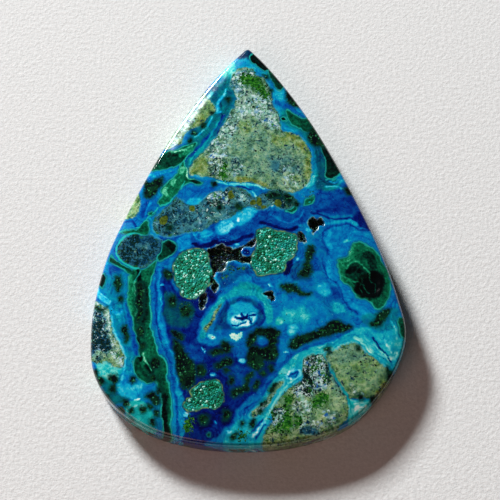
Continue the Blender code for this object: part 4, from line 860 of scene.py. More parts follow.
class OrePattern:
    """Fields of the ore over points in plan. Its borders are distances in millimetres, positive inside,
    and its washes are shades and shares."""

    def __init__(self, points):
        self.points = points
        count = len(points)
        self.depth = np.zeros(count)
        self.borders = {name: np.full(count, -FIELD_REACH) for name in BORDERS}
        self.washes = {name: np.full(count, level) for name, level in UNTOUCHED.items()}
        for name, strength, pitch, seed in GROUND_DRIFT:
            self.washes[name] += strength * lumpy_noise(points, pitch, seed)

    def near(self, line, margin):
        low, high = line.min(0) - margin, line.max(0) + margin
        return np.flatnonzero(((self.points > low) & (self.points < high)).all(1))

    def inside(self, corners, margin):
        """The points near a smooth loop, and their distances to it."""
        loop = smooth_line(corners, SHAPE_STEPS)
        chosen = self.near(loop, margin)
        return chosen, edge_distance(self.points[chosen], loop)

    def beside(self, route, margin):
        """The points near a smooth line, and their distances to it."""
        line = smooth_line(route, SHAPE_STEPS, closed=False)
        chosen = self.near(line, margin)
        return chosen, line_distance(self.points[chosen], line[:-1], line[1:])

    def around(self, middle, radii, turn=0.0):
        """The points near an ellipse, and how many radii out they lie."""
        middle = np.array(middle)
        chosen = self.near(middle[None], ELLIPSE_MARGIN * max(radii))
        cosine, sine = math.cos(math.radians(turn)), math.sin(math.radians(turn))
        offset = (self.points[chosen] - middle) @ np.array([[cosine, -sine], [sine, cosine]])
        return chosen, np.hypot(*(offset / np.array(radii)).T)

    def widen(self, name, chosen, distance):
        field = self.borders[name]
        field[chosen] = np.maximum(field[chosen], distance)

    def blend(self, chosen, weight, **values):
        for name, value in values.items():
            field = self.washes[name]
            field[chosen] += weight * (value - field[chosen])

    def cover(self, corners, feather, **values):
        """Blends washes towards values inside a loop with a soft edge."""
        chosen, distance = self.inside(corners, feather)
        self.blend(chosen, rise(distance, -feather / 2, feather / 2), **values)

    def draw(self, route, half_width, **values):
        """Blends washes towards values along a line."""
        chosen, distance = self.beside(route, half_width + LINE_FADE)
        weight = 1.0 - rise(distance, half_width - LINE_FADE / 2, half_width + LINE_FADE)
        self.blend(chosen, weight, **values)

    def embed(self, name, corners, fade, **values):
        """Puts a loop under a border's name and blends washes towards values up to its edge."""
        chosen, distance = self.inside(corners, FIELD_REACH)
        self.widen(name, chosen, distance)
        self.blend(chosen, rise(distance, -fade, 0.0), **values)

    def sink(self, corners, margin, depth, wall, name=None):
        """Lowers the polish inside a loop, and puts the loop under a border's name."""
        chosen, distance = self.inside(corners, margin)
        if name:
            self.widen(name, chosen, distance)
        self.depth[chosen] = np.maximum(self.depth[chosen], depth * rise(distance, 0.0, wall))

    def lay_ground(self):
        for tone, green, feather, corners in WASHES:
            self.cover(corners, feather, tone=tone, green=green)
        for tone, green, half_width, route in STREAKS:
            self.draw(route, half_width, tone=tone, green=green)
        for tone, green, middle, radii, turn in SPOTS:
            chosen, reach = self.around(middle, radii, turn)
            self.blend(chosen, 1.0 - rise(reach, *SPOT_FADE), tone=tone, green=green)

    def lay_rock(self):
        for tint, corners in CLASTS:
            self.embed("rock", corners, CLAST_FADE, tint=tint)
        for tint, dark_grains, pale_grains, feather, corners in ROCK_AREAS:
            chosen, distance = self.inside(corners, feather)
            self.blend(chosen, rise(distance, -feather, feather), tint=tint, dark_grains=dark_grains,
                       pale_grains=pale_grains)
        for corners in MOSS:
            self.widen("moss", *self.inside(corners, MOSS_REACH))
        for middle, radii in RUST_GRAINS:
            chosen, reach = self.around(middle, radii)
            self.widen("rust", chosen, (1.0 - reach) * min(radii))

    def lay_malachite(self):
        for shade, corners in MALACHITE:
            self.embed("malachite", corners, MALACHITE_FADE, shade=shade)
        for shade, feather, corners in GREEN_AREAS:
            self.cover(corners, feather, shade=shade)
        for shade, half_width, route in GREEN_STREAKS:
            self.draw(route, half_width, shade=shade)
        for half_width, route in TEAL_LINES:
            chosen, distance = self.beside(route, TEAL_REACH)
            self.widen("teal", chosen, half_width - distance)
        for corners in DARK_PATCHES:
            self.widen("dark", *self.inside(corners, DARK_REACH))

    def lay_haze(self):
        for haze, feather, corners in POLISH_HAZE:
            self.cover(corners, feather, haze=haze)

    def sink_hollows(self):
        for depth, corners in VUGS:
            self.sink(corners, FIELD_REACH, depth, PIT_WALL, "vug")
        for corners in DIMPLES:
            self.sink(corners, DARK_REACH, DIMPLE_DEPTH, DIMPLE_WALL, "dark")
        for corners in NESTS:
            self.sink(corners, FIELD_REACH, NEST_DEPTH, NEST_WALL, "nest")
        depth, wall, corners = EYE_DISH
        self.sink(corners, wall, depth, wall)

    def fields(self):
        """All fields by name, with the distance to the nearest border for the agate lines."""
        flow = -np.maximum.reduce([self.borders[name] for name in LINED_BORDERS])
        return {**self.borders, **self.washes, "flow": flow}


def ore_pattern(plan, level):
    """The pattern over the stone's points. Below the crown it leans inwards and wanders more."""
    drop = np.clip(WALL_HEIGHT - level, 0.0, None)[:, None]
    points = plan * (1.0 - INWARD_LEAN * drop)
    points = wandered(points, GIRDLE_PITCH, GIRDLE_WANDER * drop, GIRDLE_SEED)
    for pitch, reach, seed in EDGE_WANDER:
        points = wandered(points, pitch, reach, seed)
    pattern = OrePattern(points)
    pattern.lay_ground()
    pattern.lay_rock()
    pattern.lay_malachite()
    pattern.lay_haze()
    pattern.sink_hollows()
    return pattern


# ---------------------------------------------------------------- the stone's mesh
def grid_inside(loop, pitch):
    """Hexagonal grid in a loop: its points and its triangles."""
    row_step = pitch * math.sqrt(3.0) / 2.0
    low, high = loop.min(0), loop.max(0)
    columns = int((high[0] - low[0]) / pitch) + 3
    rows = int((high[1] - low[1]) / row_step) + 3
    column, row = np.meshgrid(np.arange(columns), np.arange(rows))
    points = np.stack([low[0] + (column + 0.5 * (row % 2)) * pitch, low[1] + row * row_step], -1)
    points = points.reshape(-1, 2)
    keep = edge_distance(points, loop) > SEAM_WIDTH * pitch
    corner = (row * columns + column)[:-1, :-1]
    odd = (row % 2)[:-1, :-1]
    up = corner + columns
    first = np.stack([corner, corner + 1, up + odd], -1).reshape(-1, 3)
    second = np.stack([corner + 1 - odd, up + 1, up], -1).reshape(-1, 3)
    triangles = np.vstack([first, second])
    triangles = triangles[keep[triangles].all(1)]
    used = np.unique(triangles)
    number = np.full(len(points), -1)
    number[used] = np.arange(len(used))
    return points[used], number[triangles]


def border_edges(triangles):
    """Edges that only one triangle has, in that triangle's direction."""
    edges = np.vstack([triangles[:, [0, 1]], triangles[:, [1, 2]], triangles[:, [2, 0]]])
    keys = np.sort(edges, 1)
    keys = keys[:, 0] * KEY_BASE + keys[:, 1]
    _, where, counts = np.unique(keys, return_index=True, return_counts=True)
    return edges[where[counts == 1]]


def filled_loop(loop, pitch):
    """Even triangles inside a loop of points, sewn to it. The loop's own points come first."""
    inner, inner_faces = grid_inside(loop, pitch)
    count = len(loop)
    border = border_edges(inner_faces)
    rim = np.unique(border)
    place = {old: count + new for new, old in enumerate(rim.tolist())}
    edges = [(i, (i + 1) % count) for i in range(count)]
    edges += [(place[a], place[b]) for a, b in border.tolist()]
    points = [Vector(point) for point in np.vstack([loop, inner[rim]])]
    found = geometry.delaunay_2d_cdt(points, edges, [list(range(count))], 1, MERGE_DISTANCE)
    source = np.array([origin[0] for origin in found[3]])
    number = np.concatenate([np.arange(count), count + rim])
    seam = number[source[np.array(found[2])]]
    everything = np.vstack([loop, inner])
    middles = everything[seam].mean(1)
    seam = seam[~enclosed(middles, inner[border[:, 0]], inner[border[:, 1]])]
    return everything, np.vstack([seam, inner_faces + count])


def upward(points, faces):
    """The triangles, each turned to run anticlockwise seen from above."""
    a, b, c = points[faces[:, 0]], points[faces[:, 1]], points[faces[:, 2]]
    area = (b[:, 0] - a[:, 0]) * (c[:, 1] - a[:, 1]) - (b[:, 1] - a[:, 1]) * (c[:, 0] - a[:, 0])
    return np.where(area[:, None] < 0, faces[:, ::-1], faces)


def ring_faces(lower, upper, count):
    """Triangles between two rings of points that run clockwise seen from above."""
    here = np.arange(count)
    there = (here + 1) % count
    return np.vstack([
        np.stack([lower + there, lower + here, upper + here], -1),
        np.stack([lower + there, upper + here, upper + there], -1),
    ])


def stone_shell():
    """Points in plan, heights, triangles, and which points lie on the polished crown."""
    middle = np.array(DOME_TOP)
    shares = CROWN_BAND * (np.arange(1, CROWN_RINGS + 1) / CROWN_RINGS) ** CROWN_CROWDING
    crown_rings = [OUTLINE + share * (middle - OUTLINE) for share in shares]
    heights = np.linspace(BACK_CHAMFER, WALL_HEIGHT, GIRDLE_RINGS)
    back_ring = OUTLINE * (1.0 - BACK_CHAMFER / np.linalg.norm(OUTLINE, axis=1))[:, None]
    count = len(OUTLINE)

    back_points, back_faces = filled_loop(back_ring, BACK_PITCH)
    crown_points, crown_faces = filled_loop(crown_rings[-1], GRID_PITCH)
    plan = [back_points]
    level = [np.zeros(len(back_points))]
    faces = [upward(back_points, back_faces)[:, ::-1]]
    rings = [(OUTLINE, np.full(count, height)) for height in heights]
    rings += [(ring, polished_height(ring)) for ring in crown_rings[:-1]]
    below, total = 0, len(back_points)
    for ring, height in rings:
        plan.append(ring)
        level.append(height)
        faces.append(ring_faces(below, total, count))
        below, total = total, total + count
    plan.append(crown_points)
    level.append(polished_height(crown_points))
    faces.append(ring_faces(below, total, count))
    faces.append(upward(crown_points, crown_faces) + total)
    plan = np.vstack(plan)
    on_crown = np.zeros(len(plan), bool)
    on_crown[len(back_points) + len(heights) * count:] = True
    return plan, np.concatenate(level), np.vstack(faces), on_crown


def mesh_piece(name, points, faces, finish):
    """A smooth-shaded mesh object from points in millimetres."""
    data = bpy.data.meshes.new(name)
    data.vertices.add(len(points))
    data.vertices.foreach_set("co", (points * MM).astype(np.float32).ravel())
    data.loops.add(faces.size)
    data.loops.foreach_set("vertex_index", faces.astype(np.int32).ravel())
    data.polygons.add(len(faces))
    data.polygons.foreach_set("loop_start", np.arange(0, faces.size, 3, dtype=np.int32))
    data.update(calc_edges=True)
    data.shade_smooth()
    data.materials.append(finish)
    piece = bpy.data.objects.new(name, data)
    bpy.context.scene.collection.objects.link(piece)
    return piece


def add_field(piece, name, values):
    field = piece.data.attributes.new(name, "FLOAT", "POINT")
    field.data.foreach_set("value", values.astype(np.float32))


# ---------------------------------------------------------------- finishes
# the standard curve from everyday colour values to shares of light
FULL_VALUE = 255.0
CURVE_FOOT = 0.04045
FOOT_SLOPE = 12.92
CURVE_LIFT = 0.055
CURVE_POWER = 2.4


def paint(red, green, blue):
    """A colour from its everyday 0 to 255 values."""
    shares = np.array([red, green, blue]) / FULL_VALUE
    curve = ((shares + CURVE_LIFT) / (1.0 + CURVE_LIFT)) ** CURVE_POWER
    linear = np.where(shares <= CURVE_FOOT, shares / FOOT_SLOPE, curve)
    return (*linear.tolist(), 1.0)


def painted(stops):
    """Ramp stops from (position, red, green, blue)."""
    return [(position, paint(*values)) for position, *values in stops]


BLUES = painted([
    (0.0, 0, 4, 58), (0.14, 0, 18, 104), (0.28, 0, 50, 132), (0.45, 0, 92, 164), (0.6, 0, 128, 184),
    (0.76, 14, 172, 204), (0.9, 110, 214, 228), (1.0, 226, 242, 246)])
TEALS = painted([
    (0.0, 0, 20, 34), (0.2, 0, 54, 66), (0.4, 0, 92, 102), (0.6, 0, 138, 142), (0.76, 20, 178, 174),
    (0.9, 120, 214, 200), (1.0, 222, 240, 226)])
MALACHITE_GREENS = painted([
    (0.0, 0, 3, 4), (0.16, 0, 20, 18), (0.34, 0, 56, 40), (0.52, 4, 98, 66), (0.68, 24, 144, 102),
    (0.84, 96, 196, 160), (1.0, 200, 234, 212)])
ROCK_TINTS = painted([
    (0.0, 14, 70, 102), (0.2, 60, 124, 130), (0.42, 100, 150, 120), (0.6, 100, 146, 84),
    (0.75, 108, 130, 50), (0.88, 104, 108, 42), (1.0, 90, 80, 36)])
MOSS_GREENS = painted([(0.3, 2, 36, 16), (0.45, 14, 82, 20), (0.6, 52, 126, 34), (0.8, 116, 164, 68)])
# pale and dark speckles of the host rock, by the rock's tint
SANDS = painted([(0.04, 16, 84, 132), (0.2, 64, 140, 150), (0.45, 178, 200, 156)])
LOAMS = painted([(0.04, 2, 24, 48), (0.2, 4, 40, 56), (0.45, 24, 58, 34)])
NEST_GREENS = painted([
    (0.0, 0, 52, 30), (0.25, 2, 96, 58), (0.5, 4, 126, 92), (0.74, 8, 160, 138), (0.9, 84, 202, 180),
    (0.97, 176, 228, 212)])
VUG_BLACKS = painted([
    (0.0, 2, 8, 12), (0.4, 6, 26, 28), (0.58, 12, 66, 40), (0.72, 56, 84, 34), (0.84, 16, 62, 120),
    (0.95, 60, 100, 80), (1.0, 150, 180, 164)])

PAINTS = {name: paint(*values) for name, values in {
    # ground
    "ground_frost": (84, 176, 204), "ground_ink": (0, 30, 54),
    # host rock
    "damp_green": (30, 76, 52), "ice_blue": (128, 174, 200), "ice_green": (140, 200, 176),
    "navy_grain": (0, 42, 66), "bottle_grain": (6, 34, 26), "white_grain": (196, 222, 218),
    "leaf_grain": (44, 118, 40), "azure_grain": (28, 92, 156), "black_grain": (2, 20, 18),
    "soot_grain": (2, 14, 18), "green_verge": (30, 92, 40), "moss_shadow": (2, 20, 10),
    "rust_dark": (40, 60, 12), "rust_light": (86, 106, 34), "seam_dark": (0, 40, 66),
    "seam_light": (56, 150, 158),
    # malachite
    "malachite_ink": (0, 14, 14), "malachite_shadow": (0, 44, 74), "malachite_rim": (28, 160, 142),
    "teal_line": (22, 170, 160),
    # dark patches
    "soot_black": (2, 10, 14), "soot_green": (6, 44, 28), "soot_leaf": (16, 78, 34),
    "soot_olive": (44, 74, 26), "soot_spark": (50, 130, 90), "soot_halo": (0, 52, 44),
    # hollows
    "vug_lip": (130, 186, 180), "vug_edge": (2, 22, 34), "vug_green": (12, 66, 50),
    "nest_halo": (0, 28, 62), "nest_lip": (110, 144, 84), "nest_floor": (10, 112, 88),
    "nest_cyan": (10, 146, 146), "vug_teal": (4, 34, 52),
}.items()}

# Noises: width of a lump in millimetres, detail, roughness, warp
NOISES = {
    "coarse": (0.9, 3.0, 0.55), "fine": (0.3, 3.0, 0.6),
    "line_patches": (3.4, 2.0), "dark_threads": (2.2, 2.0, 0.5, 1.2), "pale_threads": (1.5, 2.0, 0.5, 1.2),
    "rock_drift": (1.5, 3.0, 0.6, 0.6), "grit": (0.6, 5.0, 0.72, 0.2), "swell": (1.3, 3.0, 0.55, 0.8),
    "ice": (0.8, 2.0), "seam": (1.2, 2.0), "moss": (0.35, 3.0, 0.65), "tufts": (0.3, 3.0, 0.65, 0.8),
    "rim": (1.6, 1.0), "soot": (1.0, 3.0, 0.6), "lip": (0.7, 2.0), "wear": (0.8, 4.0, 0.7),
    "crystal_mottle": (1.1, 2.0), "crystal_patches": (1.4, 2.0), "paper": (0.45, 3.0, 0.65),
}
CLOT_NOISE = (4.0, 0.65, 0.3)
# Clots: width of a lump in millimetres, the level they start at, how far the amount lowers it, softness
CLOTS = {
    "ground_frost": (0.22, 0.69, 0.32, 0.035), "ground_ink": (0.3, 0.66, 0.32, 0.035),
    "navy_grain": (0.55, 0.68, 0.3, 0.06), "bottle_grain": (0.24, 0.66, 0.24, 0.05),
    "ice": (0.62, 0.68, 0.24, 0.08), "white_grain": (0.33, 0.72, 0.24, 0.06),
    "leaf_grain": (0.5, 0.8, 0.24, 0.06), "azure_grain": (0.7, 0.8, 0.22, 0.04),
    "black_grain": (0.18, 0.7, 0.2, 0.05), "green_verge": (0.45, 0.72, 0.28, 0.08),
    "moss_shadow": (0.3, 0.72, 0.32, 0.035), "malachite_ink": (0.28, 0.72, 0.32, 0.035),
    "soot_leaf": (0.34, 0.7, 0.32, 0.035), "soot_olive": (0.26, 0.76, 0.32, 0.035),
    "vug_green": (0.26, 0.72, 0.32, 0.035),
}
# Masks: the values of the field or noise they run from and to, and what they give there
MASKS = {
    "greener_ground": (0.05, 0.85), "line_reach": (0.2, 2.0, 1.2, 0.3),
    "line_patches": (0.4, 0.62, 0.25, 1.0), "dark_threads": (0.022, 0.0), "pale_threads": (0.012, 0.0),
    # host rock
    "unrest": (0.06, 0.35, 0.35, 1.0), "rock_drift": (0.36, 0.6, 0.55, 1.3),
    "dark_where_less_pale": (0.55, 1.3, 1.4, 0.75), "less_grit": (0.35, 1.0, 0.7, 1.0),
    "damp_green": (-0.01, -0.13, 0.0, 0.8), "broad_sand": (0.02, 0.13, 0.0, 0.65),
    "fine_sand": (0.01, 0.13, 0.0, 0.6), "loam": (-0.01, -0.12, 0.0, 0.8),
    "ice": (0.42, 0.56), "verge": (1.0, 0.1, 0.0, 0.7), "rust_light": (-0.12, 0.12),
    "rust": (-0.05, 0.05), "seam_light": (0.4, 0.6), "seam": (-0.24, -0.05, 0.0, 0.6),
    "rock": (-0.08, 0.06), "moss": (-0.06, 0.12),
    # malachite
    "malachite_shadow": (-0.3, -0.08, 0.0, 0.7), "malachite_rim": (-0.14, -0.04),
    "rim_strength": (0.35, 0.62, 0.35, 1.0), "malachite": (0.0, 0.1), "teal_line": (-0.05, 0.04),
    # dark patches and hollows
    "soot_green": (0.46, 0.62), "soot_halo": (-0.45, -0.05, 0.0, 0.85), "soot": (-0.1, 0.08),
    "lip_strength": (0.42, 0.6), "vug_lip": (-0.16, -0.06), "vug_edge": (-0.08, 0.02),
    "vug_floor": (0.0, 0.12), "nest_halo": (-0.3, -0.14, 0.0, 0.8), "nest_lip": (-0.14, -0.06),
    "nest_floor": (-0.05, 0.08), "crystal_patches": (0.5, 0.66, 0.0, 0.6),
    # gloss
    "in_vug": (-0.14, 0.0), "in_nest": (-0.1, 0.02), "sawn_back": (0.2, 0.5, 0.45, 0.0),
    "bevel": (2.2, 1.5), "wear": (0.35, 0.65),
}
# The host rock's clots from the bottom up: paint, the share of grains that drives them, strength
ROCK_LAYERS = [
    ("navy_grain", "dark", 1.0), ("bottle_grain", "dark", 1.0), ("ice", "pale", 0.75),
    ("white_grain", "pale", 0.85), ("leaf_grain", "pale", 1.0), ("azure_grain", "pale", 1.0),
    ("black_grain", "dark", 1.0),
]
# How ragged borders are: a ragged share of the fine and of the coarse noise, and what each border takes
RAGGED_FINE, RAGGED_COARSE = 0.3, 0.16
RAGGED = {"rock": 1.6, "moss": 1.5, "rust": 0.6, "malachite": 1.0, "teal": 0.4, "dark": 2.2, "vug": 1.8,
          "nest": 0.7}
RAGGED_VERGE = 2.0
# Single grains: size in millimetres and share of the surface
SOOT_SPARKS = (0.2, 0.08)
SOOT_GRAIN_SIZE = 0.3
SOOT_GRAIN_SHARE = 0.2
# The agate lines: radians to a millimetre, how the coarse noise bends them, and strength
FINE_LINES = 14.0
WIDE_LINES = 5.2
WIDE_LINE_START = 1.0
LINE_BEND = 0.7
LINE_STRENGTH = 0.06
RIB_STRENGTH = 0.03
DARK_THREADS = -0.12
PALE_THREADS = 0.08
# How much of the coarse and of the fine noise goes into each shade
TONE_NOISE = (0.5, 0.2)
GREEN_NOISE = 0.9
TINT_NOISE = (0.9, 0.4)
SHADE_NOISE = (0.45, 0.6)
TUFT_MIDDLE = 0.52
TUFT_STRENGTH = 3.6
# Amounts of clots where no field drives them
MOSS_SHADOWS = 0.5
INK_IN_MALACHITE = 0.3
LEAVES_IN_SOOT = 0.4
OLIVE_IN_SOOT = 0.2
GREEN_IN_VUGS = 0.4
# Roughness: of the polish, what the bevel, the hazy places and the hollows add, plain and worn
POLISH_ROUGHNESS = 0.08
BEVEL_ROUGHNESS = (0.03, 0.06)
HAZE_ROUGHNESS = (0.12, 0.1)
HOLLOW_ROUGHNESS = 0.2
POLISH_IOR = 1.5
# The fine noise as bumps: height in millimetres, strength, and shares on the polish, bevel and hollows
BUMP_HEIGHT = 0.05
BUMP_STRENGTH = 0.5
POLISH_BUMPS, BEVEL_BUMPS, HOLLOW_BUMPS = 0.03, 0.12, 0.9
CRYSTAL_SPECULAR = 0.1
# The grains' cells: how softly the share cuts off, and where a grain ends inside its cell
GRAIN_SOFTNESS = 0.06
GRAIN_END = (0.62, 0.42)


class Bench:
    """Short ways to add and wire nodes in one tree."""

    def __init__(self, tree):
        self.tree = tree

    def put(self, socket, value):
        if isinstance(value, bpy.types.NodeSocket):
            self.tree.links.new(value, socket)
        else:
            socket.default_value = value

    def add(self, kind, *values, settings=(), **named):
        """A node with settings, and with values or wires on its first sockets and on named ones."""
        node = self.tree.nodes.new(kind)
        for name, value in dict(settings).items():
            setattr(node, name, value)
        for socket, value in zip(node.inputs, values):
            self.put(socket, value)
        for name, value in named.items():
            self.put(node.inputs[name.replace("_", " ")], value)
        return node

    def calc(self, operation, *values):
        return self.add("ShaderNodeMath", *values, settings={"operation": operation}).outputs[0]

    def step(self, value, low, high, start=0.0, end=1.0):
        """The value mapped from low..high to start..end and held there."""
        return self.add("ShaderNodeMapRange", value, low, high, start, end).outputs["Result"]


class PaintBench(Bench):
    """A bench for one material."""

    def __init__(self, name):
        self.finish = bpy.data.materials.new(name)
        self.finish.use_nodes = True
        super().__init__(self.finish.node_tree)
        self.shader = self.tree.nodes["Principled BSDF"]
        self.place = self.add("ShaderNodeTexCoord").outputs["Object"]

    def field(self, name):
        return self.add("ShaderNodeAttribute", settings={"attribute_name": name}).outputs["Fac"]

    def mask(self, name, value):
        return self.step(value, *MASKS[name])

    def grown(self, name):
        """One of the named noises, between 0 and 1."""
        return self.noise(*NOISES[name])

    def noise(self, size, detail=2.0, roughness=0.5, warp=0.0):
        """Noise between 0 and 1 whose lumps are size millimetres wide."""
        return self.add("ShaderNodeTexNoise", Vector=self.place, Scale=1.0 / (size * MM), Detail=detail,
                        Roughness=roughness, Distortion=warp).outputs["Fac"]

    def ramp(self, value, stops):
        """Colours by value from (position, colour) stops."""
        node = self.add("ShaderNodeValToRGB", value)
        elements = node.color_ramp.elements
        while len(elements) < len(stops):
            elements.new(0.5)
        for element, (position, colour) in zip(elements, stops):
            element.position = position
            element.color = colour
        return node.outputs["Color"]

    def mix(self, share, first, second):
        """Two colours mixed by a share. A name stands for its paint."""
        first = PAINTS[first] if isinstance(first, str) else first
        second = PAINTS[second] if isinstance(second, str) else second
        return self.add("ShaderNodeMix", settings={"data_type": "RGBA"}, Factor=share, A=first,
                        B=second).outputs["Result"]

    def layered(self, base, *layers):
        """A base colour with (share, colour) layers laid over it, from the bottom up."""
        for share, colour in layers:
            base = self.mix(share, base, colour)
        return base

    def height(self):
        """Height over the floor, in millimetres."""
        parts = self.add("ShaderNodeSeparateXYZ", self.place)
        return self.calc("DIVIDE", parts.outputs["Z"], MM)

    def bump(self, height, distance, strength):
        node = self.add("ShaderNodeBump", Height=height, Distance=distance * MM, Strength=strength)
        self.put(self.shader.inputs["Normal"], node.outputs["Normal"])


def new_group(name, kind, inputs, output):
    """An empty node group's bench and its inputs. Sockets are given as (name, sort)."""
    bench = Bench(bpy.data.node_groups.new(name, kind))
    for direction, (socket, sort) in [("INPUT", pair) for pair in inputs] + [("OUTPUT", output)]:
        bench.tree.interface.new_socket(socket, in_out=direction, socket_type="NodeSocket" + sort)
    return bench, bench.add("NodeGroupInput").outputs


def speckle_group():
    """Grains as a mask: the share of cells that are lit, with cells of a given size."""
    bench, outside = new_group("speckle", "ShaderNodeTree",
                               [("Scale", "Float"), ("Share", "Float"), ("Place", "Vector")],
                               ("Mask", "Float"))
    cells = bench.add("ShaderNodeTexVoronoi", Vector=outside["Place"], Scale=outside["Scale"],
                      Randomness=1.0)
    draw = bench.add("ShaderNodeSeparateColor", cells.outputs["Color"]).outputs["Red"]
    lit = bench.step(draw, outside["Share"], bench.calc("SUBTRACT", outside["Share"], GRAIN_SOFTNESS))
    near = bench.step(cells.outputs["Distance"], *GRAIN_END)
    bench.add("NodeGroupOutput", Mask=bench.calc("MULTIPLY", lit, near))
    return bench.tree


def polished_ore(speckle):
    """The stone's polished face: ground, rock, malachite and hollows, painted from its fields."""
    bench = PaintBench("polished_chrysocolla")
    calc, mask, grown, field = bench.calc, bench.mask, bench.grown, bench.field

    def times(first, second):
        return calc("MULTIPLY", first, second)

    def scaled(value, factor, offset):
        return calc("MULTIPLY_ADD", value, factor, offset)

    def centred(name):
        """A named noise moved down to lie round 0."""
        return calc("SUBTRACT", grown(name), 0.5)

    def grains(size, share):
        """Single grains of a size in millimetres, over a share of the surface."""
        return bench.add("ShaderNodeGroup", settings={"node_tree": speckle}, Scale=1.0 / MM / size,
                         Share=share, Place=bench.place).outputs[0]

    coarse = centred("coarse")
    fine = centred("fine")
    ragged = scaled(fine, RAGGED_FINE, times(coarse, RAGGED_COARSE))

    def border(name):
        """A field's distance to its border, made ragged by noise."""
        return scaled(ragged, RAGGED[name], field(name))

    def clots(name, amount):
        """Irregular clots that cover more of the surface as amount grows."""
        size, start, reach, soft = CLOTS[name]
        edge = scaled(amount, -reach, start)
        return bench.step(bench.noise(size, *CLOT_NOISE), edge, calc("ADD", edge, soft))

    def threads(name, strength):
        """Thin wandering lines, one where the noise passes its middle."""
        return times(mask(name, calc("ABSOLUTE", centred(name))), strength)

    # ground: agate lines follow the nearest border and fade away from it
    flow = calc("ADD", field("flow"), times(coarse, LINE_BEND))
    lines = calc("SINE", times(flow, FINE_LINES))
    wide_lines = calc("SINE", scaled(flow, WIDE_LINES, WIDE_LINE_START))
    fade = times(mask("line_reach", field("flow")), mask("line_patches", grown("line_patches")))
    bands = times(scaled(wide_lines, LINE_STRENGTH, times(lines, LINE_STRENGTH)), fade)
    clouds = scaled(fine, TONE_NOISE[1], times(coarse, TONE_NOISE[0]))
    hairs = calc("ADD", threads("dark_threads", DARK_THREADS), threads("pale_threads", PALE_THREADS))
    tone = calc("ADD", field("tone"), calc("ADD", bands, calc("ADD", clouds, hairs)))
    greener = mask("greener_ground", scaled(coarse, GREEN_NOISE, field("green")))
    ground = bench.layered(
        bench.mix(greener, bench.ramp(tone, BLUES), bench.ramp(tone, TEALS)),
        (clots("ground_frost", 0.0), "ground_frost"),
        (clots("ground_ink", 0.0), "ground_ink"))

    # host rock: tinted base under dark, blue and pale grains whose number drifts from place to place; on
    # the upper left bevel the pale grains also paint a sheen
    unrest = mask("unrest", field("pale_grains"))
    tint = scaled(times(coarse, unrest), TINT_NOISE[0], scaled(fine, TINT_NOISE[1], field("tint")))
    drift = mask("rock_drift", grown("rock_drift"))
    shares = {"pale": times(field("pale_grains"), drift),
              "dark": times(field("dark_grains"), mask("dark_where_less_pale", drift))}
    grit = times(centred("grit"), mask("less_grit", unrest))
    swell = times(centred("swell"), unrest)
    sand = bench.ramp(field("tint"), SANDS)
    ice = bench.mix(mask("ice", grown("ice")), "ice_blue", "ice_green")
    rock_clots = []
    for name, share, strength in ROCK_LAYERS:
        rock_clots.append((times(clots(name, shares[share]), strength), ice if name == "ice" else name))
    verge = mask("verge", scaled(ragged, RAGGED_VERGE, field("rock")))
    rust = bench.mix(mask("rust_light", fine), "rust_dark", "rust_light")
    rock = bench.layered(
        bench.ramp(tint, ROCK_TINTS),
        (mask("damp_green", swell), "damp_green"),
        (mask("broad_sand", swell), sand),
        (mask("fine_sand", grit), sand),
        (mask("loam", grit), bench.ramp(field("tint"), LOAMS)),
        *rock_clots,
        (grains(SOOT_GRAIN_SIZE, times(shares["dark"], SOOT_GRAIN_SHARE)), "soot_grain"),
        (clots("green_verge", verge), "green_verge"),
        (mask("rust", border("rust")), rust))
    moss = bench.layered(bench.ramp(grown("moss"), MOSS_GREENS),
                         (clots("moss_shadow", MOSS_SHADOWS), "moss_shadow"))
    tufts = scaled(calc("SUBTRACT", grown("tufts"), TUFT_MIDDLE), TUFT_STRENGTH, border("moss"))
    rock_edge = border("rock")
    seam = bench.mix(mask("seam_light", grown("seam")), "seam_dark", "seam_light")

    # malachite: thin pale rim, dark line, then its own shade
    leaf = border("malachite")
    shade = calc("ADD", field("shade"), scaled(fine, SHADE_NOISE[1], times(coarse, SHADE_NOISE[0])))
    ribs = times(calc("SINE", times(leaf, FINE_LINES)), RIB_STRENGTH)
    malachite = bench.layered(bench.ramp(calc("ADD", shade, ribs), MALACHITE_GREENS),
                              (clots("malachite_ink", INK_IN_MALACHITE), "malachite_ink"))
    rim = mask("rim_strength", grown("rim"))

    # dark granular patches and hollows
    soot = bench.layered(
        bench.mix(mask("soot_green", grown("soot")), "soot_black", "soot_green"),
        (clots("soot_leaf", LEAVES_IN_SOOT), "soot_leaf"),
        (clots("soot_olive", OLIVE_IN_SOOT), "soot_olive"),
        (grains(*SOOT_SPARKS), "soot_spark"))
    mark = border("dark")
    pit = border("vug")
    bed = border("nest")
    lip = mask("lip_strength", grown("lip"))
    pit_floor = bench.mix(clots("vug_green", GREEN_IN_VUGS), "soot_black", "vug_green")

    bench.put(bench.shader.inputs["Base Color"], bench.layered(
        ground,
        (mask("seam", rock_edge), seam),
        (mask("rock", rock_edge), rock),
        (mask("moss", tufts), moss),
        (mask("malachite_shadow", leaf), "malachite_shadow"),
        (times(mask("malachite_rim", leaf), rim), "malachite_rim"),
        (mask("malachite", leaf), malachite),
        (mask("teal_line", border("teal")), "teal_line"),
        (mask("soot_halo", mark), "soot_halo"),
        (mask("soot", mark), soot),
        (times(mask("vug_lip", pit), lip), "vug_lip"),
        (mask("vug_edge", pit), "vug_edge"),
        (mask("vug_floor", pit), pit_floor),
        (mask("nest_halo", bed), "nest_halo"),
        (times(mask("nest_lip", bed), lip), "nest_lip"),
        (mask("nest_floor", bed), "nest_floor")))

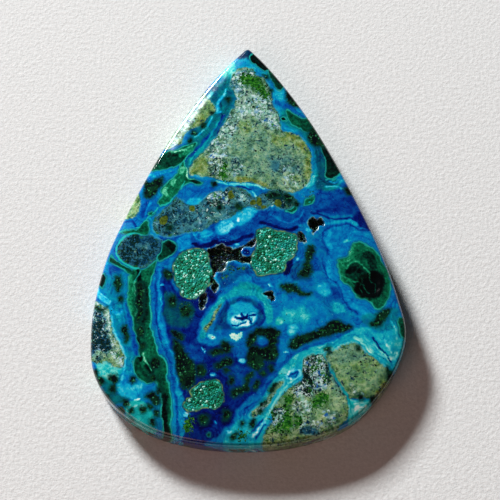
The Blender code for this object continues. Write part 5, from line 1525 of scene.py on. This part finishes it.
    # gloss: the bevel and the hazy places are duller, the hollows and the sawn back matt
    hollow = calc("MAXIMUM", mask("in_vug", pit), mask("in_nest", bed))
    dull = calc("MAXIMUM", times(hollow, HOLLOW_ROUGHNESS), mask("sawn_back", bench.height()))
    bevel = mask("bevel", field("inset"))
    wear = mask("wear", grown("wear"))
    gloss = POLISH_ROUGHNESS
    for where, (plain, worn) in ((bevel, BEVEL_ROUGHNESS), (field("haze"), HAZE_ROUGHNESS)):
        gloss = scaled(where, scaled(wear, worn, plain), gloss)
    bench.put(bench.shader.inputs["Roughness"], calc("ADD", gloss, dull))
    bumps = scaled(hollow, HOLLOW_BUMPS, scaled(bevel, BEVEL_BUMPS, POLISH_BUMPS))
    bench.bump(times(fine, bumps), BUMP_HEIGHT, BUMP_STRENGTH)
    bench.shader.inputs["IOR"].default_value = POLISH_IOR
    return bench.finish


def crystal_finish(name, stops, drift, roughness, mottling):
    """Small crystals, each coloured by its own random shade, with patches that drift to another colour."""
    bench = PaintBench(name)
    mottle = bench.calc("MULTIPLY_ADD", bench.grown("crystal_mottle"), mottling, -0.5 * mottling)
    colour = bench.ramp(bench.calc("ADD", bench.field("crystal_shade"), mottle), stops)
    patches = bench.mask("crystal_patches", bench.grown("crystal_patches"))
    bench.put(bench.shader.inputs["Base Color"], bench.mix(patches, colour, drift))
    bench.shader.inputs["Roughness"].default_value = roughness
    bench.shader.inputs["Specular IOR Level"].default_value = CRYSTAL_SPECULAR
    return bench.finish


# ---------------------------------------------------------------- crystals in the nests and vugs
MOST_CRYSTALS_TO_A_SQUARE_METRE = 4.0e7
CRYSTAL_SIDES = 6
TOP_SHARE = 0.35
HALF_TURN = 3.14
PLACE_SEED, TURN_SEED, SIZE_SEED, SHADE_SEED = 5, 6, 7, 8
# most crystals are small, a few grow large: the smallest scale, what the largest adds, and the skew
SMALLEST_CRYSTAL = 0.65
CRYSTAL_GROWTH = 0.8
CRYSTAL_SKEW = 4.0


def crystal_tree():
    """Scatters short six-sided crystals over a bed and gives each its own shade."""
    bench, outside = new_group(
        "crystal_crust", "GeometryNodeTree",
        [("Bed", "Geometry"), ("Spacing", "Float"), ("Radius", "Float"), ("Height", "Float"),
         ("Lean", "Float"), ("Finish", "Material")], ("Crystals", "Geometry"))
    scatter = bench.add("GeometryNodeDistributePointsOnFaces", settings={"distribute_method": "POISSON"},
                        Mesh=outside["Bed"], Distance_Min=outside["Spacing"],
                        Density_Max=MOST_CRYSTALS_TO_A_SQUARE_METRE, Seed=PLACE_SEED)
    crystal = bench.add("GeometryNodeMeshCone", Vertices=CRYSTAL_SIDES,
                        Radius_Top=bench.calc("MULTIPLY", outside["Radius"], TOP_SHARE),
                        Radius_Bottom=outside["Radius"], Depth=outside["Height"])
    lean = bench.add("ShaderNodeCombineXYZ", outside["Lean"], outside["Lean"], HALF_TURN).outputs[0]
    back = bench.add("ShaderNodeVectorMath", lean, settings={"operation": "SCALE"}, Scale=-1.0).outputs[0]
    turn = bench.add("FunctionNodeRandomValue", settings={"data_type": "FLOAT_VECTOR"}, Min=back, Max=lean,
                     Seed=TURN_SEED)
    draw = bench.add("FunctionNodeRandomValue", Seed=SIZE_SEED).outputs[1]
    size = bench.calc("MULTIPLY_ADD", bench.calc("POWER", draw, CRYSTAL_SKEW), CRYSTAL_GROWTH,
                      SMALLEST_CRYSTAL)
    grown = bench.add("GeometryNodeInstanceOnPoints", Points=scatter.outputs["Points"],
                      Instance=crystal.outputs["Mesh"], Rotation=turn.outputs[0], Scale=size)
    shade = bench.add("FunctionNodeRandomValue", Seed=SHADE_SEED).outputs[1]
    shaded = bench.add("GeometryNodeStoreNamedAttribute",
                       settings={"data_type": "FLOAT", "domain": "INSTANCE"}, Name="crystal_shade",
                       Geometry=grown.outputs["Instances"], Value=shade)
    real = bench.add("GeometryNodeRealizeInstances", Geometry=shaded.outputs["Geometry"])
    finish = bench.add("GeometryNodeSetMaterial", Geometry=real.outputs["Geometry"],
                       Material=outside["Finish"])
    bench.add("NodeGroupOutput", Crystals=finish.outputs["Geometry"])
    return bench.tree


def crust(name, tree, points, faces, chosen, **sizes):
    """Crystals over the chosen points' faces, as one plain mesh."""
    bed_faces = faces[chosen[faces].all(1)]
    used, renumbered = np.unique(bed_faces, return_inverse=True)
    bed = mesh_piece(name + "_bed", points[used], renumbered.reshape(-1, 3), sizes["Finish"])
    modifier = bed.modifiers.new("crust", "NODES")
    modifier.node_group = tree
    for item in tree.interface.items_tree:
        if item.item_type == "SOCKET" and item.in_out == "INPUT" and item.name in sizes:
            modifier[item.identifier] = sizes[item.name]
    seen = bed.evaluated_get(bpy.context.evaluated_depsgraph_get())
    data = bpy.data.meshes.new_from_object(seen)
    data.name = name
    # the polish cut every crystal off level with the crown
    corners = np.empty(3 * len(data.vertices), np.float32)
    data.vertices.foreach_get("co", corners)
    corners = corners.reshape(-1, 3) / MM
    corners[:, 2] = np.minimum(corners[:, 2], polished_height(corners[:, :2]) - POLISH_CLEARANCE)
    data.vertices.foreach_set("co", (corners * MM).astype(np.float32).ravel())
    data.update()
    piece = bpy.data.objects.new(name, data)
    bpy.context.scene.collection.objects.link(piece)
    bpy.data.objects.remove(bed)
    return piece


# ---------------------------------------------------------------- the dressed stone
# The crusts: piece, the hollows they line, how far inside their border they begin, the finish with its
# name, ramp, drift, roughness and mottling, and the crystals' sizes in millimetres with their lean
CRUSTS = [
    ("nest_crystals", "nest", 0.04, ("green_druse", NEST_GREENS, "nest_cyan", 0.58, 0.8),
     {"Spacing": 0.16, "Radius": 0.18, "Height": 0.075, "Lean": 0.3}),
    ("vug_crystals", "vug", 0.02, ("black_druse", VUG_BLACKS, "vug_teal", 0.5, 0.4),
     {"Spacing": 0.21, "Radius": 0.16, "Height": 0.16, "Lean": 0.7}),
]


def settle(piece):
    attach(piece, "root")


def dressed_stone():
    plan, level, faces, on_crown = stone_shell()
    pattern = ore_pattern(plan, level)
    level = level - np.where(on_crown, pattern.depth, 0.0)
    points = np.column_stack([plan, level])
    speckle = speckle_group()
    stone = mesh_piece("cabochon_stone", points, faces, polished_ore(speckle))
    add_field(stone, "inset", np.clip(edge_distance(plan, COARSE_OUTLINE), 0.0, 3.0))
    for name, values in pattern.fields().items():
        add_field(stone, name, values)
    settle(stone)
    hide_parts("cabochon")

    tree = crystal_tree()
    for name, border, margin, look, sizes in CRUSTS:
        chosen = on_crown & (pattern.borders[border] > margin)
        sizes = {socket: value if socket == "Lean" else value * MM for socket, value in sizes.items()}
        settle(crust(name, tree, points, faces, chosen, Finish=crystal_finish(*look), **sizes))


dressed_stone()


# ---------------------------------------------------------------- floor, light and camera
CAMERA_TARGET = Vector((0.175, -1.475, 3.0)) * MM
CAMERA_DISTANCE = 173.6 * MM
CAMERA_ELEVATION = math.radians(70.0)
LENS = 100.0
SENSOR = 36.0
NEAREST_SEEN = 0.01
# the paper: its size in metres, the depth of its tooth in millimetres, and how strongly that shows
PAPER_SIZE = 6.0
PAPER_TOOTH = 0.12
PAPER_BUMP = 0.6
PAPER_ROUGHNESS = 0.9
PAPER_GREYS = painted([(0.3, 207, 208, 207), (0.7, 224, 225, 224)])
# softboxes: azimuth and elevation, distance, width, height, watts, colour
LAMPS = {
    "window": ((-33.5, 26.5), 1.3, 0.26, 0.221, 36.2, (0.97, 0.992, 1.0)),
    "bounce": ((215.0, 38.0), 0.5, 0.3, 0.3, 0.52, (1.0, 0.58, 0.48)),
}
ROOM_COLOUR = (1.0, 0.9, 0.88, 1.0)
ROOM_LIGHT = 0.045


def paper_floor():
    bpy.ops.mesh.primitive_plane_add(size=PAPER_SIZE, location=(0.0, 0.0, 0.0))
    floor = bpy.context.object
    floor.name = "pale_floor"
    bench = PaintBench("pale_paper")
    tooth = bench.grown("paper")
    bench.put(bench.shader.inputs["Base Color"], bench.ramp(tooth, PAPER_GREYS))
    bench.shader.inputs["Roughness"].default_value = PAPER_ROUGHNESS
    bench.bump(tooth, PAPER_TOOTH, PAPER_BUMP)
    floor.data.materials.append(bench.finish)


def soft_lamp(name, toward, distance, width, height, watts, colour):
    """A rectangular softbox that faces the stone from a direction given as azimuth and elevation."""
    azimuth, elevation = (math.radians(angle) for angle in toward)
    way = Vector((math.sin(azimuth) * math.cos(elevation), math.cos(azimuth) * math.cos(elevation),
                  math.sin(elevation)))
    lamp = bpy.data.lights.new(name, "AREA")
    lamp.shape = "RECTANGLE"
    lamp.size, lamp.size_y = width, height
    lamp.energy = watts
    lamp.color = colour
    holder = bpy.data.objects.new(name, lamp)
    holder.location = way * distance
    holder.rotation_euler = (-way).to_track_quat("-Z", "Y").to_euler()
    bpy.context.scene.collection.objects.link(holder)


def studio():
    paper_floor()
    for name, values in LAMPS.items():
        soft_lamp(name, *values)
    world = bpy.data.worlds.new("room")
    world.use_nodes = True
    sky = world.node_tree.nodes["Background"]
    sky.inputs["Color"].default_value = ROOM_COLOUR
    sky.inputs["Strength"].default_value = ROOM_LIGHT
    bpy.context.scene.world = world
    lens = bpy.data.cameras.new("camera")
    lens.lens = LENS
    lens.sensor_width = SENSOR
    lens.clip_start = NEAREST_SEEN
    camera = bpy.data.objects.new("camera", lens)
    back = Vector((0.0, -math.cos(CAMERA_ELEVATION), math.sin(CAMERA_ELEVATION)))
    camera.location = CAMERA_TARGET + back * CAMERA_DISTANCE
    camera.rotation_euler = (math.pi / 2.0 - CAMERA_ELEVATION, 0.0, 0.0)
    bpy.context.scene.collection.objects.link(camera)
    bpy.context.scene.camera = camera
    bpy.context.scene.view_settings.view_transform = "Standard"


studio()
